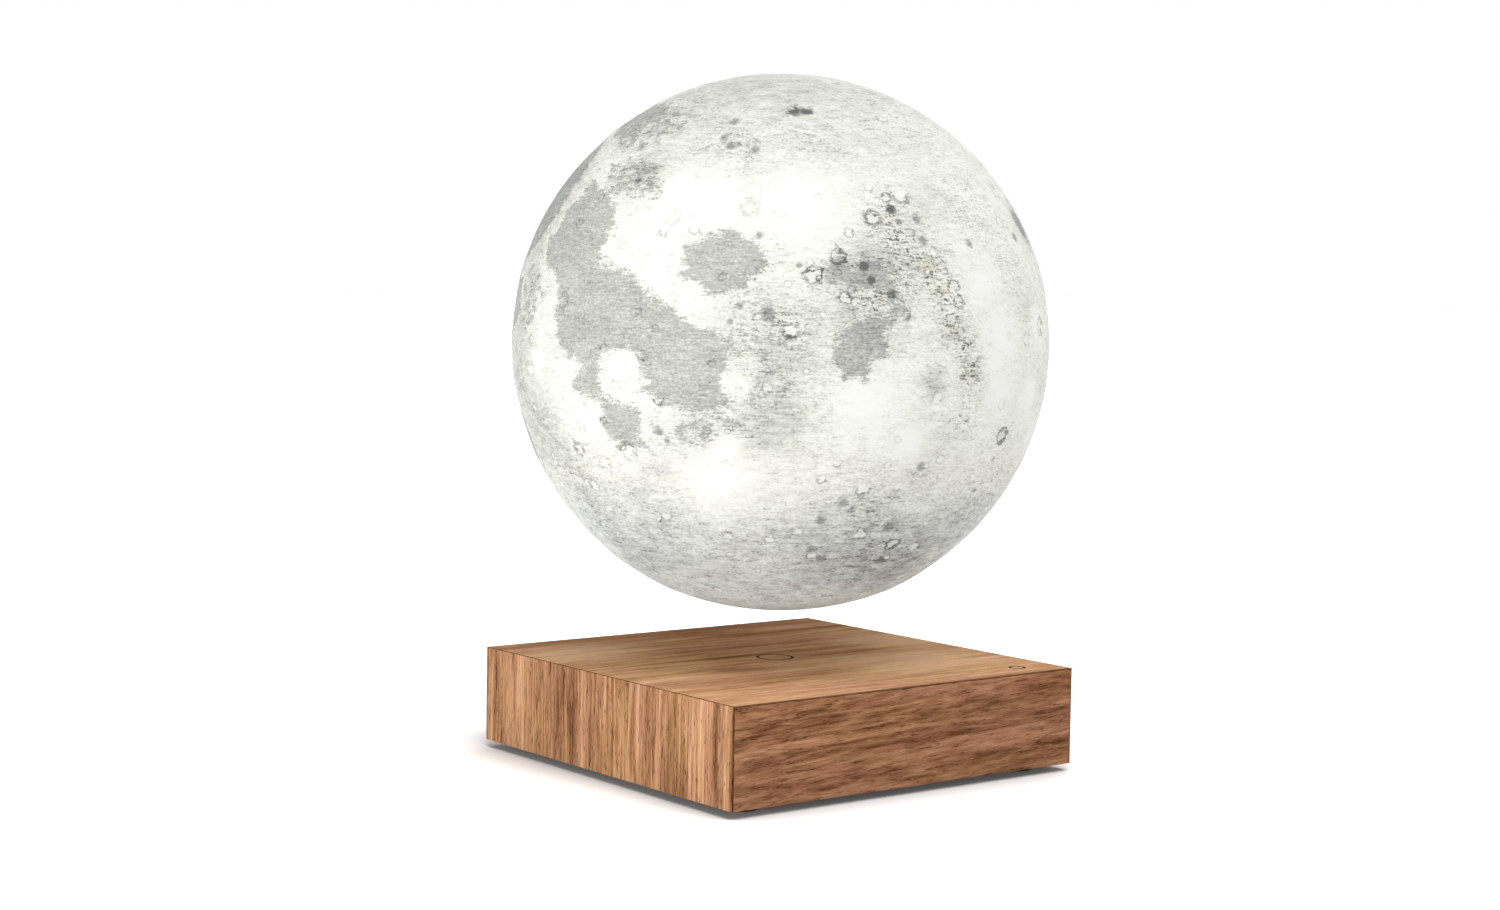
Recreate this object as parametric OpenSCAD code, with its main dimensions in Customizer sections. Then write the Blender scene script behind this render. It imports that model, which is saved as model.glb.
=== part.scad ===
// Moon lamp: a printed moon globe that floats over a square walnut-veneered base.
// The base holds the lifting magnets and coils, the moon holds a magnet and the lights.
// Millimetres. Origin: centre of the footprint, on the surface that the lamp stands on.
// +Z up, -Y is the front (the side with the touch mark), +X to the right.

/* [Base box] */
// Side length of the square base
base_w = 110; // [108:1:140]
// Height of the wooden box, without its feet
base_h = 25; // [25:0.5:40]
// Thickness of the veneered boards
board_t = 4; // [3:0.5:4.5]
// Thickness of the bottom plate
plate_t = 2; // [1.5:0.5:3]
// Gap all round the bottom plate
plate_gap = 0.3; // [0.2:0.1:1]
// Number of vent slots in the bottom plate
vent_count = 7; // [3:1:11]
// Width of a vent slot
vent_w = 2; // [1.5:0.5:3]
// Length of a vent slot
vent_l = 26; // [12:1:40]
// Distance from one vent slot to the next
vent_pitch = 6; // [4:0.5:7]
// Side of the glue blocks in the corners
block_w = 12; // [10:1:13]
// Height left free over the corner blocks, for the touch pad and its lead
block_gap = 3; // [3:0.5:6]

/* [Feet and their screws] */
// Diameter of a rubber foot
foot_d = 9; // [7:0.5:12]
// Height of a rubber foot
foot_h = 2; // [1.5:0.5:4]
// Distance from the faces of the base to the centre of a foot
foot_inset = 10; // [9:0.5:11]
// Chamfer on the lower edge of a foot
foot_chamfer = 0.5; // [0.2:0.1:0.8]
// Shank diameter of the plate screws
plate_screw_d = 3; // [2.5:0.5:3.5]
// Length of the plate screws, head included
plate_screw_l = 12; // [10:1:14]
// Head diameter of the plate screws
plate_screw_head_d = 5.6; // [5:0.2:6.6]
// Gap between a screw's shank and its hole
screw_gap = 0.05; // [0.02:0.01:0.2]

/* [Marks on the top] */
// Outer diameter of the engraved ring at the middle
ring_mark_d = 10; // [6:0.5:16]
// Outer diameter of the engraved touch mark
touch_mark_d = 4.6; // [3:0.2:6]
// Width of an engraved line
mark_line_w = 0.5; // [0.3:0.1:1]
// Depth of an engraved line
mark_depth = 0.25; // [0.1:0.05:0.6]
// Distance from the right face to the middle of the touch mark
touch_mark_side = 12; // [9:0.5:13]
// Distance from the front face to the middle of the touch mark
touch_mark_front = 8; // [8:0.5:12]

/* [Touch pad] */
// Diameter of the copper pad behind the touch mark
touch_pad_d = 6; // [4:0.5:7]
// Thickness of the copper pad
touch_pad_t = 0.5; // [0.3:0.1:1]
// Outer diameter of the insulated leads inside the base
lead_d = 1; // [0.8:0.1:1.4]
// Distance from the corner block to the upright part of the touch lead
touch_lead_inset = 2.5; // [1.5:0.5:4]

/* [Control board] */
// Height of the spacers under the control board
spacer_h = 3; // [2.5:0.5:3]
// Diameter of a spacer
spacer_d = 5; // [4:0.5:6]
// Thickness of the circuit boards
pcb_t = 1.6; // [1:0.2:1.6]
// Gap between the control board and the walls and corner blocks
pcb_gap = 2.5; // [1:0.5:4]
// Distance from the long edge of the control board to its screws
pcb_screw_inset = 5.5; // [4:0.5:6]
// Distance between the two screws along a side
pcb_screw_pitch = 60; // [50:1:66]
// Shank diameter of the board screws
pcb_screw_d = 2.2; // [2:0.1:2.6]
// Head diameter of the board screws
pcb_screw_head_d = 4.2; // [3.8:0.2:5]
// Head height of the board screws
pcb_screw_head_h = 1.5; // [1:0.1:2]
// Gap between a board screw and the hole in the board
pcb_hole_gap = 0.2; // [0.1:0.1:0.4]
// How far a board screw ends above the bottom plate
pcb_screw_end_gap = 0.4; // [0.2:0.1:1]
// Diameter of the large capacitors
capacitor_d = 8; // [6:0.5:8]
// Gap between the large capacitors and the top board
capacitor_top_gap = 2.9; // [1:0.1:6]
// Gap between a large capacitor and the corner block beside it
capacitor_gap = 1.6; // [1:0.1:2.5]
// Side of the controller chip
controller_w = 7; // [5:0.5:8]
// Side of the voltage regulator
regulator_w = 5; // [4:0.5:7]
// Thickness of the chips
chip_t = 1.2; // [0.8:0.1:2]
// Distance between the parts along the front edge of the control board
front_part_pitch = 17; // [12:0.5:22]
// Side of a coil driver transistor
transistor_w = 6.4; // [5:0.2:7]
// Thickness of a coil driver transistor
transistor_t = 2.3; // [1.5:0.1:3]
// Distance between the driver transistors
transistor_pitch = 10; // [8:0.5:12]
// Side of the square choke
choke_w = 6.6; // [5:0.2:7]
// Height of the square choke
choke_h = 4; // [3:0.5:6]

/* [Power inlet] */
// Distance from the middle of the back board to the inlet, towards the right
jack_offset = 24; // [20:0.5:26]
// Width of the inlet's housing
jack_w = 9; // [8.6:0.2:11]
// Depth of the inlet's housing behind the back board
jack_l = 12; // [11.5:0.1:12.4]
// Height of the inlet's housing
jack_h = 11; // [9.4:0.2:11.4]
// Outer diameter of the inlet's nose in the back board
jack_nose_d = 8; // [7.6:0.1:8.6]
// Gap round the inlet's nose
jack_nose_gap = 0.3; // [0.1:0.1:0.6]
// How far the nose stays behind the face of the back board
jack_recess = 0.8; // [0.3:0.1:1.5]
// Diameter of the socket for the plug
jack_socket_d = 6.4; // [6:0.1:6.8]
// Depth of the socket
jack_socket_l = 9.5; // [8.5:0.5:10]
// Diameter of the centre pin
jack_pin_d = 2.1; // [1.9:0.1:2.5]
// How far the centre pin stays behind the nose's face
jack_pin_recess = 0.8; // [0.3:0.1:1.5]
// Length of the centre pin's root in the housing
jack_pin_root_l = 3; // [2:0.5:4]
// Diameter of the centre pin's root
jack_pin_root_d = 3; // [2.6:0.1:3.6]

/* [Lifting magnets and coils] */
// Outer diameter of the ring magnet
ring_magnet_d = 72; // [64:0.5:76]
// Diameter of the ring magnet's bore
ring_magnet_bore = 47; // [43:0.5:52]
// Gap between the ring magnet and the coil former over it
ring_magnet_top_gap = 0.8; // [0.4:0.1:3]
// Wall and floor thickness of the magnet tray
tray_t = 1.2; // [0.8:0.1:1.6]
// Gap between the ring magnet and the tray's walls
tray_gap = 0.2; // [0.1:0.05:0.4]
// Height of the tray's legs
tray_leg_h = 2.4; // [1.5:0.1:3.5]
// Diameter of the tray's legs
tray_leg_d = 4; // [3:0.5:6]
// Gap between the lifting coils and the tray round them
coil_side_gap = 0.2; // [0.1:0.1:1]
// Gap between one lifting coil and the next
coil_pitch_gap = 3.8; // [2.5:0.1:6]
// Gap between the lifting coils and the coil former over them
coil_top_gap = 0.8; // [0.4:0.1:3]
// Diameter of a lifting coil's iron core
core_d = 5; // [4:0.5:6]
// Wall thickness of the bobbins
bobbin_t = 0.7; // [0.5:0.1:1]
// How far the winding stays inside the bobbin's flanges
winding_inset = 0.5; // [0.3:0.1:1]
// Thickness of the transmitter coil under the top
send_coil_t = 1.2; // [0.8:0.1:1.5]
// Radial width of the transmitter coil
send_coil_w = 11.8; // [6:0.2:16]
// Thickness of the disc that carries the transmitter coil
former_t = 0.8; // [0.6:0.1:1]
// Spread of the transmitter coil's two leads
send_lead_pitch = 6; // [4:0.5:10]
// Distance from the tray to the upright part of those leads
send_lead_inset = 2.5; // [2:0.5:4]
// Size across of a field sensor's body
sensor_w = 4; // [3:0.5:4]
// Thickness of a field sensor's body
sensor_t = 1.6; // [1.2:0.1:2]
// Height of a field sensor's body
sensor_h = 3; // [2:0.5:4]
// Height of a field sensor's legs
sensor_leg_h = 4; // [2:0.5:5]
// Thickness of a field sensor's leg
sensor_leg_w = 0.5; // [0.4:0.1:0.8]
// Distance from the axis to a field sensor
sensor_offset = 2.6; // [2.4:0.1:3]

/* [Moon] */
// Diameter of the moon
moon_d = 140; // [130:1:180]
// Thickness of the printed shell
shell_t = 1.8; // [1.2:0.2:3]
// Height at which the moon floats over the base
float_gap = 13.5; // [8:0.5:20]
// Diameter of the opening at the bottom of the shell
opening_d = 60; // [58:0.5:64]
// Gap between the opening and the cap
cap_gap = 0.15; // [0.1:0.05:0.5]
// How far the cap reaches below the edge of the opening
cap_drop = 5.75; // [5:0.25:6.5]
// Diameter of the flat under the cap, on which the moon stands when it is taken off
cap_flat_d = 16; // [8:0.5:24]
// Wall thickness of the cap
cap_t = 1.6; // [1.2:0.1:2.2]
// Wall thickness of the cap's collar
collar_t = 1.6; // [1.2:0.1:2]
// Height of the cap's collar over the board's seat
collar_h = 1.5; // [0.5:0.5:3]
// Thickness of the cap under the magnet
pocket_floor = 3; // [2.6:0.2:5]

/* [Inside the moon] */
// Diameter of the floating magnet
magnet_d = 30; // [26:0.5:31]
// Height of the floating magnet
magnet_h = 6; // [5:0.5:9]
// Clearance all round the floating magnet
magnet_gap = 0.3; // [0.2:0.05:0.5]
// Wall thickness of the magnet's pocket
pocket_t = 1.5; // [1:0.1:1.8]
// Thickness of the cover over the magnet
cover_t = 1.2; // [1:0.1:2]
// Thickness of the receiver coil
get_coil_t = 1.4; // [0.8:0.1:1.6]
// Radial width of the receiver coil
get_coil_w = 4; // [3:0.2:5]
// Gap between the receiver coil and the pocket and posts beside it
get_coil_gap = 0.4; // [0.2:0.1:0.6]
// Gap between the receiver board and the cap's collar
get_board_gap = 0.4; // [0.2:0.1:1]
// Diameter of the screw posts in the cap
post_d = 4.4; // [4:0.1:4.6]
// Shank diameter of the cap's screws
cap_screw_d = 1.8; // [1.6:0.1:2.2]
// Length of the cap's screws under the head
cap_screw_l = 3.6; // [3:0.1:4.4]
// Head diameter of the cap's screws
cap_screw_head_d = 3.6; // [3.2:0.1:4]
// Head height of the cap's screws
cap_screw_head_h = 1.2; // [0.8:0.1:1.6]
// Number of lights on the receiver board
led_count = 8; // [4:1:10]
// Distance from the axis to a light
led_offset = 7; // [6.5:0.1:7.2]
// Length of a light
led_l = 3.5; // [2.5:0.1:4]
// Width of a light
led_w = 2.8; // [2:0.1:3]
// Height of a light
led_h = 1; // [0.6:0.1:1.4]
// Outer diameter of the diffuser over the lights
diffuser_d = 22; // [21:0.5:25]
// Height of the diffuser's straight wall
diffuser_wall = 3; // [2:0.5:6]
// Thickness of the diffuser
diffuser_t = 1.2; // [0.8:0.1:1.6]
// Distance from the edge of the receiver board to the parts beside the diffuser
side_part_inset = 9.8; // [8:0.2:10.5]
// Diameter of the smoothing capacitor
smoothing_d = 6.3; // [5:0.1:7]
// Height of the smoothing capacitor
smoothing_h = 7.7; // [5:0.1:9]
// Side of the rectifier chips
rectifier_w = 4.4; // [3:0.1:5]

/* [Hidden] */

$fn = 96;
past = 1;                  // how far a cutter runs past the face that it cuts

// Levels of the base, from the surface up
box_z = foot_h;
floor_z = box_z + plate_t;
top_z = box_z + base_h;
ceiling_z = top_z - board_t;
board_z = floor_z + spacer_h;
deck_z = board_z + pcb_t;                       // upper face of the control board
send_coil_z = ceiling_z - send_coil_t;
former_z = send_coil_z - former_t;
tray_z = deck_z + tray_leg_h;
ring_magnet_z = tray_z + tray_t;
block_top_z = ceiling_z - block_gap;
ring_magnet_h = former_z - ring_magnet_top_gap - ring_magnet_z;
coil_h = former_z - coil_top_gap - deck_z;

// Plan of the base
inner_w = base_w - 2 * board_t;
plate_w = inner_w - 2 * plate_gap;
foot_x = base_w / 2 - foot_inset;
block_x = inner_w / 2 - block_w;                // inner faces of the corner blocks
pcb_w = inner_w - 2 * pcb_gap;
pcb_arm_w = 2 * (block_x - pcb_gap / 2);        // width of the board between the blocks
pcb_screw_x = pcb_w / 2 - pcb_screw_inset;
capacitor_x = block_x - capacitor_gap - capacitor_d / 2;
capacitor_y = (pcb_w - capacitor_d) / 2;        // flush with the edge of the control board
touch_x = base_w / 2 - touch_mark_side;
touch_y = -base_w / 2 + touch_mark_front;
tray_r_out = ring_magnet_d / 2 + tray_gap + tray_t;
tray_r_in = ring_magnet_bore / 2 - tray_gap - tray_t;
strip_x = (tray_r_out + pcb_w / 2) / 2;         // middle of the free strip beside the tray
// Four equal coils fill the tray's hole: from their reach and the gap between them
coil_reach = tray_r_in - coil_side_gap;
coil_r = (coil_reach - coil_pitch_gap / sqrt(2)) / (1 + sqrt(2));
coil_offset = coil_reach - coil_r;
send_coil_r = tray_r_out - tray_t / 2;
jack_z = deck_z + jack_h / 2;
back_y = base_w / 2;
jack_face_y = back_y - jack_recess;
jack_socket_y = jack_face_y - jack_socket_l;

// Levels of the moon
moon_r = moon_d / 2;
opening_r = opening_d / 2;
moon_low_z = top_z + float_gap;                 // flat face of the cap
opening_z = moon_low_z + cap_drop;              // edge of the opening
moon_z = opening_z + sqrt(pow(moon_r, 2) - pow(opening_r, 2));  // centre of the moon
// The cap's round passes through the edge of the opening and the edge of its own flat
cap_round_h = (pow(opening_r, 2) - pow(cap_flat_d / 2, 2) + pow(cap_drop, 2)) / (2 * cap_drop);
cap_round_r = sqrt(pow(cap_flat_d / 2, 2) + pow(cap_round_h, 2));
pocket_z = moon_low_z + pocket_floor;
magnet_z = pocket_z + magnet_gap;
pocket_top_z = magnet_z + magnet_h + magnet_gap;
get_board_z = pocket_top_z + cover_t;
get_deck_z = get_board_z + pcb_t;               // upper face of the receiver board
collar_top_z = get_board_z + collar_h;

// Plan of the moon's inside
cap_out_r = opening_r - cap_gap;
collar_r = cap_out_r - collar_t;
get_board_r = collar_r - get_board_gap;
pocket_r = magnet_d / 2 + magnet_gap;
get_coil_r_in = pocket_r + pocket_t + get_coil_gap;
get_coil_r = get_coil_r_in + get_coil_w;
post_r = get_coil_r + get_coil_gap + post_d / 2;
side_part_r = get_board_r - side_part_inset;
post_count = 3;
// The posts stand at 90, 210 and 330 degrees; the parts beside the diffuser lie between them
smoothing_angle = 150;
rectifier_angles = [6, 30, 54];

// ---- shared shapes

// Repeats a shape at the four corners of a rectangle
module at_corners(x, y) {
    for (sx = [-1, 1])
        for (sy = [-1, 1])
            translate([sx * x, sy * y, 0]) children();
}

// A plain tube between two levels
module tube(r_out, r_in, z, h) {
    translate([0, 0, z])
        difference() {
            cylinder(r = r_out, h = h);
            translate([0, 0, -past]) cylinder(r = r_in, h = h + 2 * past);
        }
}

// A box that stands on a level, centred in plan
module block_on(size, z) {
    translate([-size.x / 2, -size.y / 2, z]) cube(size);
}

// One wall of the box, on the front side: mitred at both ends and under the top
module wall_board() {
    half = base_w / 2;
    inner = inner_w / 2;
    intersection() {
        translate([0, 0, box_z])
            linear_extrude(height = base_h)
                polygon([[-half, -half], [half, -half], [inner, -inner], [-inner, -inner]]);
        rotate([90, 0, 90])
            linear_extrude(height = base_w, center = true)
                polygon([[-half, box_z], [-inner, box_z], [-inner, ceiling_z], [-half, top_z]]);
    }
}

// An engraved ring, as a cutter from the top face down
module ring_cutter(d) {
    tube(d / 2, d / 2 - mark_line_w, top_z - mark_depth, mark_depth + past);
}

// A lead that stands on a board and turns level, towards +X, at height z_run
module bent_lead(z_foot, z_run, run) {
    bend_r = 1.5 * lead_d;
    translate([0, 0, z_foot]) cylinder(d = lead_d, h = z_run - bend_r - z_foot, $fn = 24);
    translate([bend_r, 0, z_run - bend_r])
        rotate([90, 0, 180])
            rotate_extrude(angle = 90, $fn = 48)
                translate([bend_r, 0]) circle(d = lead_d, $fn = 24);
    translate([bend_r, 0, z_run])
        rotate([0, 90, 0]) cylinder(d = lead_d, h = run - bend_r, $fn = 24);
}

// ---- the box

module top_panel() {
    half = base_w / 2;
    inner = inner_w / 2;
    section = [[-half, top_z], [half, top_z], [inner, ceiling_z], [-inner, ceiling_z]];
    color("#a37c5e")
        difference() {
            intersection() {
                rotate([90, 0, 0])
                    linear_extrude(height = base_w, center = true) polygon(section);
                rotate([90, 0, 90])
                    linear_extrude(height = base_w, center = true) polygon(section);
            }
            ring_cutter(ring_mark_d);
            translate([touch_x, touch_y, 0]) ring_cutter(touch_mark_d);
        }
}

module front_panel() {
    color("#865f43") wall_board();
}

module back_panel() {
    color("#865f43")
        difference() {
            rotate([0, 0, 180]) wall_board();
            translate([jack_offset, back_y + past, jack_z])
                rotate([90, 0, 0])
                    cylinder(d = jack_nose_d + 2 * jack_nose_gap, h = board_t + 2 * past);
        }
}

module left_panel() {
    color("#ac7e5e") rotate([0, 0, -90]) wall_board();
}

module right_panel() {
    color("#ac7e5e") rotate([0, 0, 90]) wall_board();
}

module corner_blocks() {
    color("#b89a74")
        difference() {
            at_corners(inner_w / 2 - block_w / 2, inner_w / 2 - block_w / 2)
                block_on([block_w, block_w, block_top_z - floor_z], floor_z);
            at_corners(foot_x, foot_x)
                translate([0, 0, floor_z - past])
                    cylinder(d = plate_screw_d + 2 * screw_gap,
                             h = plate_screw_l - plate_t + 2 * past, $fn = 32);
        }
}

// The cone of a plate screw's head, from its flat face up; wider by grow on the radius
module screw_cone(grow) {
    cone_h = (plate_screw_head_d - plate_screw_d) / 2;
    cylinder(d1 = plate_screw_head_d + 2 * grow, d2 = plate_screw_d + 2 * grow, h = cone_h, $fn = 48);
}

module bottom_plate() {
    color("#26241f")
        difference() {
            block_on([plate_w, plate_w, plate_t], box_z);
            at_corners(foot_x, foot_x)
                translate([0, 0, box_z]) {
                    screw_cone(screw_gap);
                    translate([0, 0, -past])
                        cylinder(d = plate_screw_d + 2 * screw_gap, h = plate_t + 2 * past, $fn = 32);
                }
            for (i = [0 : vent_count - 1])
                translate([(i - (vent_count - 1) / 2) * vent_pitch, 0, 0])
                    block_on([vent_w, vent_l, plate_t + 2 * past], box_z - past);
        }
}

module plate_screws() {
    color("#8f9296")
        at_corners(foot_x, foot_x)
            translate([0, 0, box_z])
                union() {
                    screw_cone(0);
                    cylinder(d = plate_screw_d, h = plate_screw_l, $fn = 32);
                }
}

module rubber_feet() {
    color("#1c1b1a")
        at_corners(foot_x, foot_x)
            rotate_extrude()
                polygon([[0, 0], [foot_d / 2 - foot_chamfer, 0], [foot_d / 2, foot_chamfer],
                         [foot_d / 2, foot_h], [0, foot_h]]);
}

// ---- the control board

module board_spacers() {
    color("#d8d4c8")
        at_corners(pcb_screw_x, pcb_screw_pitch / 2)
            tube(spacer_d / 2, pcb_screw_d / 2 + screw_gap, floor_z, spacer_h);
}

module control_board() {
    color("#1f5a3a")
        difference() {
            union() {
                block_on([pcb_w, pcb_arm_w, pcb_t], board_z);
                block_on([pcb_arm_w, pcb_w, pcb_t], board_z);
            }
            at_corners(pcb_screw_x, pcb_screw_pitch / 2)
                translate([0, 0, board_z - past])
                    cylinder(d = pcb_screw_d + 2 * pcb_hole_gap, h = pcb_t + 2 * past, $fn = 32);
        }
}

module board_screws() {
    shank_l = pcb_t + spacer_h - pcb_screw_end_gap;
    color("#b9bbbd")
        at_corners(pcb_screw_x, pcb_screw_pitch / 2)
            union() {
                translate([0, 0, deck_z - shank_l]) cylinder(d = pcb_screw_d, h = shank_l, $fn = 32);
                translate([0, 0, deck_z]) cylinder(d = pcb_screw_head_d, h = pcb_screw_head_h, $fn = 32);
            }
}

module controller_chips() {
    color("#202224") {
        translate([0, -strip_x, 0]) block_on([controller_w, controller_w, chip_t], deck_z);
        translate([front_part_pitch, -strip_x, 0])
            block_on([regulator_w, regulator_w, chip_t], deck_z);
    }
}

module driver_transistors() {
    color("#2b2d30")
        for (i = [-1.5 : 1.5])
            translate([strip_x, i * transistor_pitch, 0])
                block_on([transistor_w, transistor_w, transistor_t], deck_z);
}

module choke() {
    color("#3a3c3e")
        translate([-front_part_pitch, -strip_x, 0]) block_on([choke_w, choke_w, choke_h], deck_z);
}

module large_capacitors() {
    color("#9aa0a8")
        for (sy = [-1, 1])
            translate([-capacitor_x, sy * capacitor_y, deck_z])
                cylinder(d = capacitor_d, h = ceiling_z - capacitor_top_gap - deck_z, $fn = 48);
}

// ---- the power inlet

module power_inlet() {
    color("#1a1a1c")
        difference() {
            union() {
                translate([jack_offset, inner_w / 2 - jack_l / 2, 0])
                    block_on([jack_w, jack_l, jack_h], deck_z);
                translate([jack_offset, jack_face_y, jack_z])
                    rotate([90, 0, 0]) cylinder(d = jack_nose_d, h = board_t - jack_recess + past);
            }
            translate([jack_offset, jack_face_y + past, jack_z])
                rotate([90, 0, 0]) cylinder(d = jack_socket_d, h = jack_socket_l + past);
            translate([jack_offset, jack_socket_y + past, jack_z])
                rotate([90, 0, 0])
                    cylinder(d = jack_pin_root_d + 2 * screw_gap, h = jack_pin_root_l + past, $fn = 32);
        }
}

module inlet_pin() {
    pin_l = jack_socket_l - jack_pin_recess;
    color("#c9b06a")
        translate([jack_offset, jack_socket_y, jack_z])
            union() {
                rotate([-90, 0, 0]) cylinder(d = jack_pin_d, h = pin_l, $fn = 32);
                rotate([90, 0, 0]) cylinder(d = jack_pin_root_d, h = jack_pin_root_l, $fn = 32);
            }
}

// ---- the lifting magnets and coils

module magnet_tray() {
    wall_in_top = ring_magnet_z + ring_magnet_h;
    leg_r = (tray_r_out + tray_r_in) / 2;
    color("#e4e2da")
        union() {
            tube(tray_r_out, tray_r_in, tray_z, tray_t);
            tube(tray_r_out, tray_r_out - tray_t, tray_z, former_z - tray_z);
            tube(tray_r_in + tray_t, tray_r_in, tray_z, wall_in_top - tray_z);
            for (a = [45 : 90 : 315])
                rotate([0, 0, a])
                    translate([leg_r, 0, deck_z])
                        cylinder(d = tray_leg_d, h = tray_leg_h + tray_t / 2, $fn = 32);
        }
}

module ring_magnet() {
    color("#b8bcc0") tube(ring_magnet_d / 2, ring_magnet_bore / 2, ring_magnet_z, ring_magnet_h);
}

// Repeats a shape at the middle of each lifting coil
module at_coils() {
    for (a = [0 : 90 : 270])
        rotate([0, 0, a]) translate([coil_offset, 0, deck_z]) children();
}

module coil_bobbins() {
    barrel_r = core_d / 2 + screw_gap;
    color("#20262c")
        at_coils()
            rotate_extrude()
                polygon([
                    [barrel_r, 0], [coil_r, 0], [coil_r, bobbin_t],
                    [barrel_r + bobbin_t, bobbin_t], [barrel_r + bobbin_t, coil_h - bobbin_t],
                    [coil_r, coil_h - bobbin_t], [coil_r, coil_h], [barrel_r, coil_h]
                ]);
}

module coil_windings() {
    color("#b5652b")
        at_coils()
            tube(coil_r - winding_inset, core_d / 2 + screw_gap + bobbin_t,
                 bobbin_t, coil_h - 2 * bobbin_t);
}

module coil_cores() {
    color("#6e6f72") at_coils() cylinder(d = core_d, h = coil_h, $fn = 48);
}

module field_sensors() {
    color("#17181a")
        for (a = [0 : 120 : 240])
            rotate([0, 0, a + 45])
                translate([sensor_offset, 0, 0])
                    union() {
                        block_on([sensor_t, sensor_w, sensor_h], deck_z + sensor_leg_h);
                        for (i = [-1 : 1])
                            translate([0, i * sensor_w / 3, 0])
                                block_on([sensor_leg_w, sensor_leg_w, sensor_leg_h], deck_z);
                    }
}

module coil_former() {
    color("#efeee8")
        translate([0, 0, former_z]) cylinder(r = tray_r_out, h = former_t);
}

module transmitter_coil() {
    color("#c0743a") tube(send_coil_r, send_coil_r - send_coil_w, send_coil_z, send_coil_t);
}

module transmitter_leads() {
    stand_x = tray_r_out + send_lead_inset;
    run = stand_x - sqrt(pow(send_coil_r, 2) - pow(send_lead_pitch / 2 - lead_d / 2, 2));
    color("#7c1f1a")
        for (sy = [-1, 1])
            translate([-stand_x, sy * send_lead_pitch / 2, 0])
                bent_lead(deck_z, send_coil_z + send_coil_t / 2, run);
}

// ---- the touch sensor

module touch_pad() {
    color("#c98b4e")
        translate([touch_x, touch_y, ceiling_z - touch_pad_t])
            cylinder(d = touch_pad_d, h = touch_pad_t, $fn = 48);
}

module touch_lead() {
    stand_x = block_x - touch_lead_inset;
    run_z = ceiling_z - touch_pad_t - lead_d / 2;
    color("#d9d6cc")
        translate([stand_x, touch_y, 0]) bent_lead(deck_z, run_z, touch_x - stand_x);
}

// ---- the floating magnet

module floating_magnet() {
    color("#c3c6ca") translate([0, 0, magnet_z]) cylinder(d = magnet_d, h = magnet_h);
}

// ---- the moon

module moon_shell() {
    color("#dedfd9")
        difference() {
            translate([0, 0, moon_z]) sphere(r = moon_r, $fn = 180);
            translate([0, 0, moon_z]) sphere(r = moon_r - shell_t, $fn = 180);
            translate([0, 0, moon_z - moon_r - past]) cylinder(d = opening_d, h = moon_r);
        }
}

// Repeats a shape at the middle of each screw post of the cap
module at_posts() {
    for (i = [0 : post_count - 1])
        rotate([0, 0, 90 + i * 360 / post_count]) translate([post_r, 0, 0]) children();
}

// The round of the cap, a part of a ball that is smaller by inset
module cap_round(inset) {
    translate([0, 0, moon_low_z + cap_round_h]) sphere(r = cap_round_r - inset, $fn = 180);
}

module moon_cap() {
    color("#e6e6e0")
        difference() {
            intersection() {
                cap_round(0);
                translate([0, 0, moon_low_z]) cylinder(r = cap_out_r, h = moon_r);
                union() {
                    // the dish
                    difference() {
                        translate([0, 0, moon_low_z])
                            cylinder(r = cap_out_r, h = collar_top_z - moon_low_z);
                        cap_round(cap_t);
                    }
                    // the collar, the magnet's pocket and the screw posts
                    tube(cap_out_r, collar_r, moon_low_z, collar_top_z - moon_low_z);
                    translate([0, 0, moon_low_z])
                        cylinder(r = pocket_r + pocket_t, h = pocket_top_z - moon_low_z);
                    at_posts()
                        translate([0, 0, moon_low_z])
                            cylinder(d = post_d, h = get_board_z - moon_low_z, $fn = 32);
                }
            }
            translate([0, 0, pocket_z]) cylinder(r = pocket_r, h = pocket_top_z - pocket_z + past);
            at_posts()
                translate([0, 0, get_deck_z - cap_screw_l - screw_gap])
                    cylinder(d = cap_screw_d + 2 * screw_gap, h = cap_screw_l, $fn = 24);
        }
}

module magnet_cover() {
    color("#d2d2cc")
        translate([0, 0, pocket_top_z]) cylinder(r = pocket_r + pocket_t, h = cover_t);
}

module receiver_coil() {
    color("#c0743a") tube(get_coil_r, get_coil_r_in, get_board_z - get_coil_t, get_coil_t);
}

module receiver_board() {
    color("#f0f0ea")
        difference() {
            translate([0, 0, get_board_z]) cylinder(r = get_board_r, h = pcb_t);
            at_posts()
                translate([0, 0, get_board_z - past])
                    cylinder(d = cap_screw_d + 2 * screw_gap, h = pcb_t + 2 * past, $fn = 24);
        }
}

module cap_screws() {
    color("#b9bbbd")
        at_posts()
            union() {
                translate([0, 0, get_deck_z - cap_screw_l])
                    cylinder(d = cap_screw_d, h = cap_screw_l, $fn = 24);
                translate([0, 0, get_deck_z])
                    cylinder(d = cap_screw_head_d, h = cap_screw_head_h, $fn = 32);
            }
}

module lights() {
    color("#f4e8a8")
        for (i = [0 : led_count - 1])
            rotate([0, 0, i * 360 / led_count])
                translate([led_offset, 0, 0]) block_on([led_w, led_l, led_h], get_deck_z);
}

module light_diffuser() {
    outer_r = diffuser_d / 2;
    inner_r = outer_r - diffuser_t;
    color("#f6f6f2")
        translate([0, 0, get_deck_z])
            rotate_extrude()
                difference() {
                    union() {
                        square([outer_r, diffuser_wall]);
                        intersection() {
                            translate([0, diffuser_wall]) circle(r = outer_r);
                            translate([0, diffuser_wall]) square([outer_r, outer_r]);
                        }
                    }
                    translate([-past, -past]) square([inner_r + past, diffuser_wall + past]);
                    intersection() {
                        translate([0, diffuser_wall]) circle(r = inner_r);
                        translate([-past, diffuser_wall - past]) square(outer_r + past);
                    }
                }
}

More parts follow.
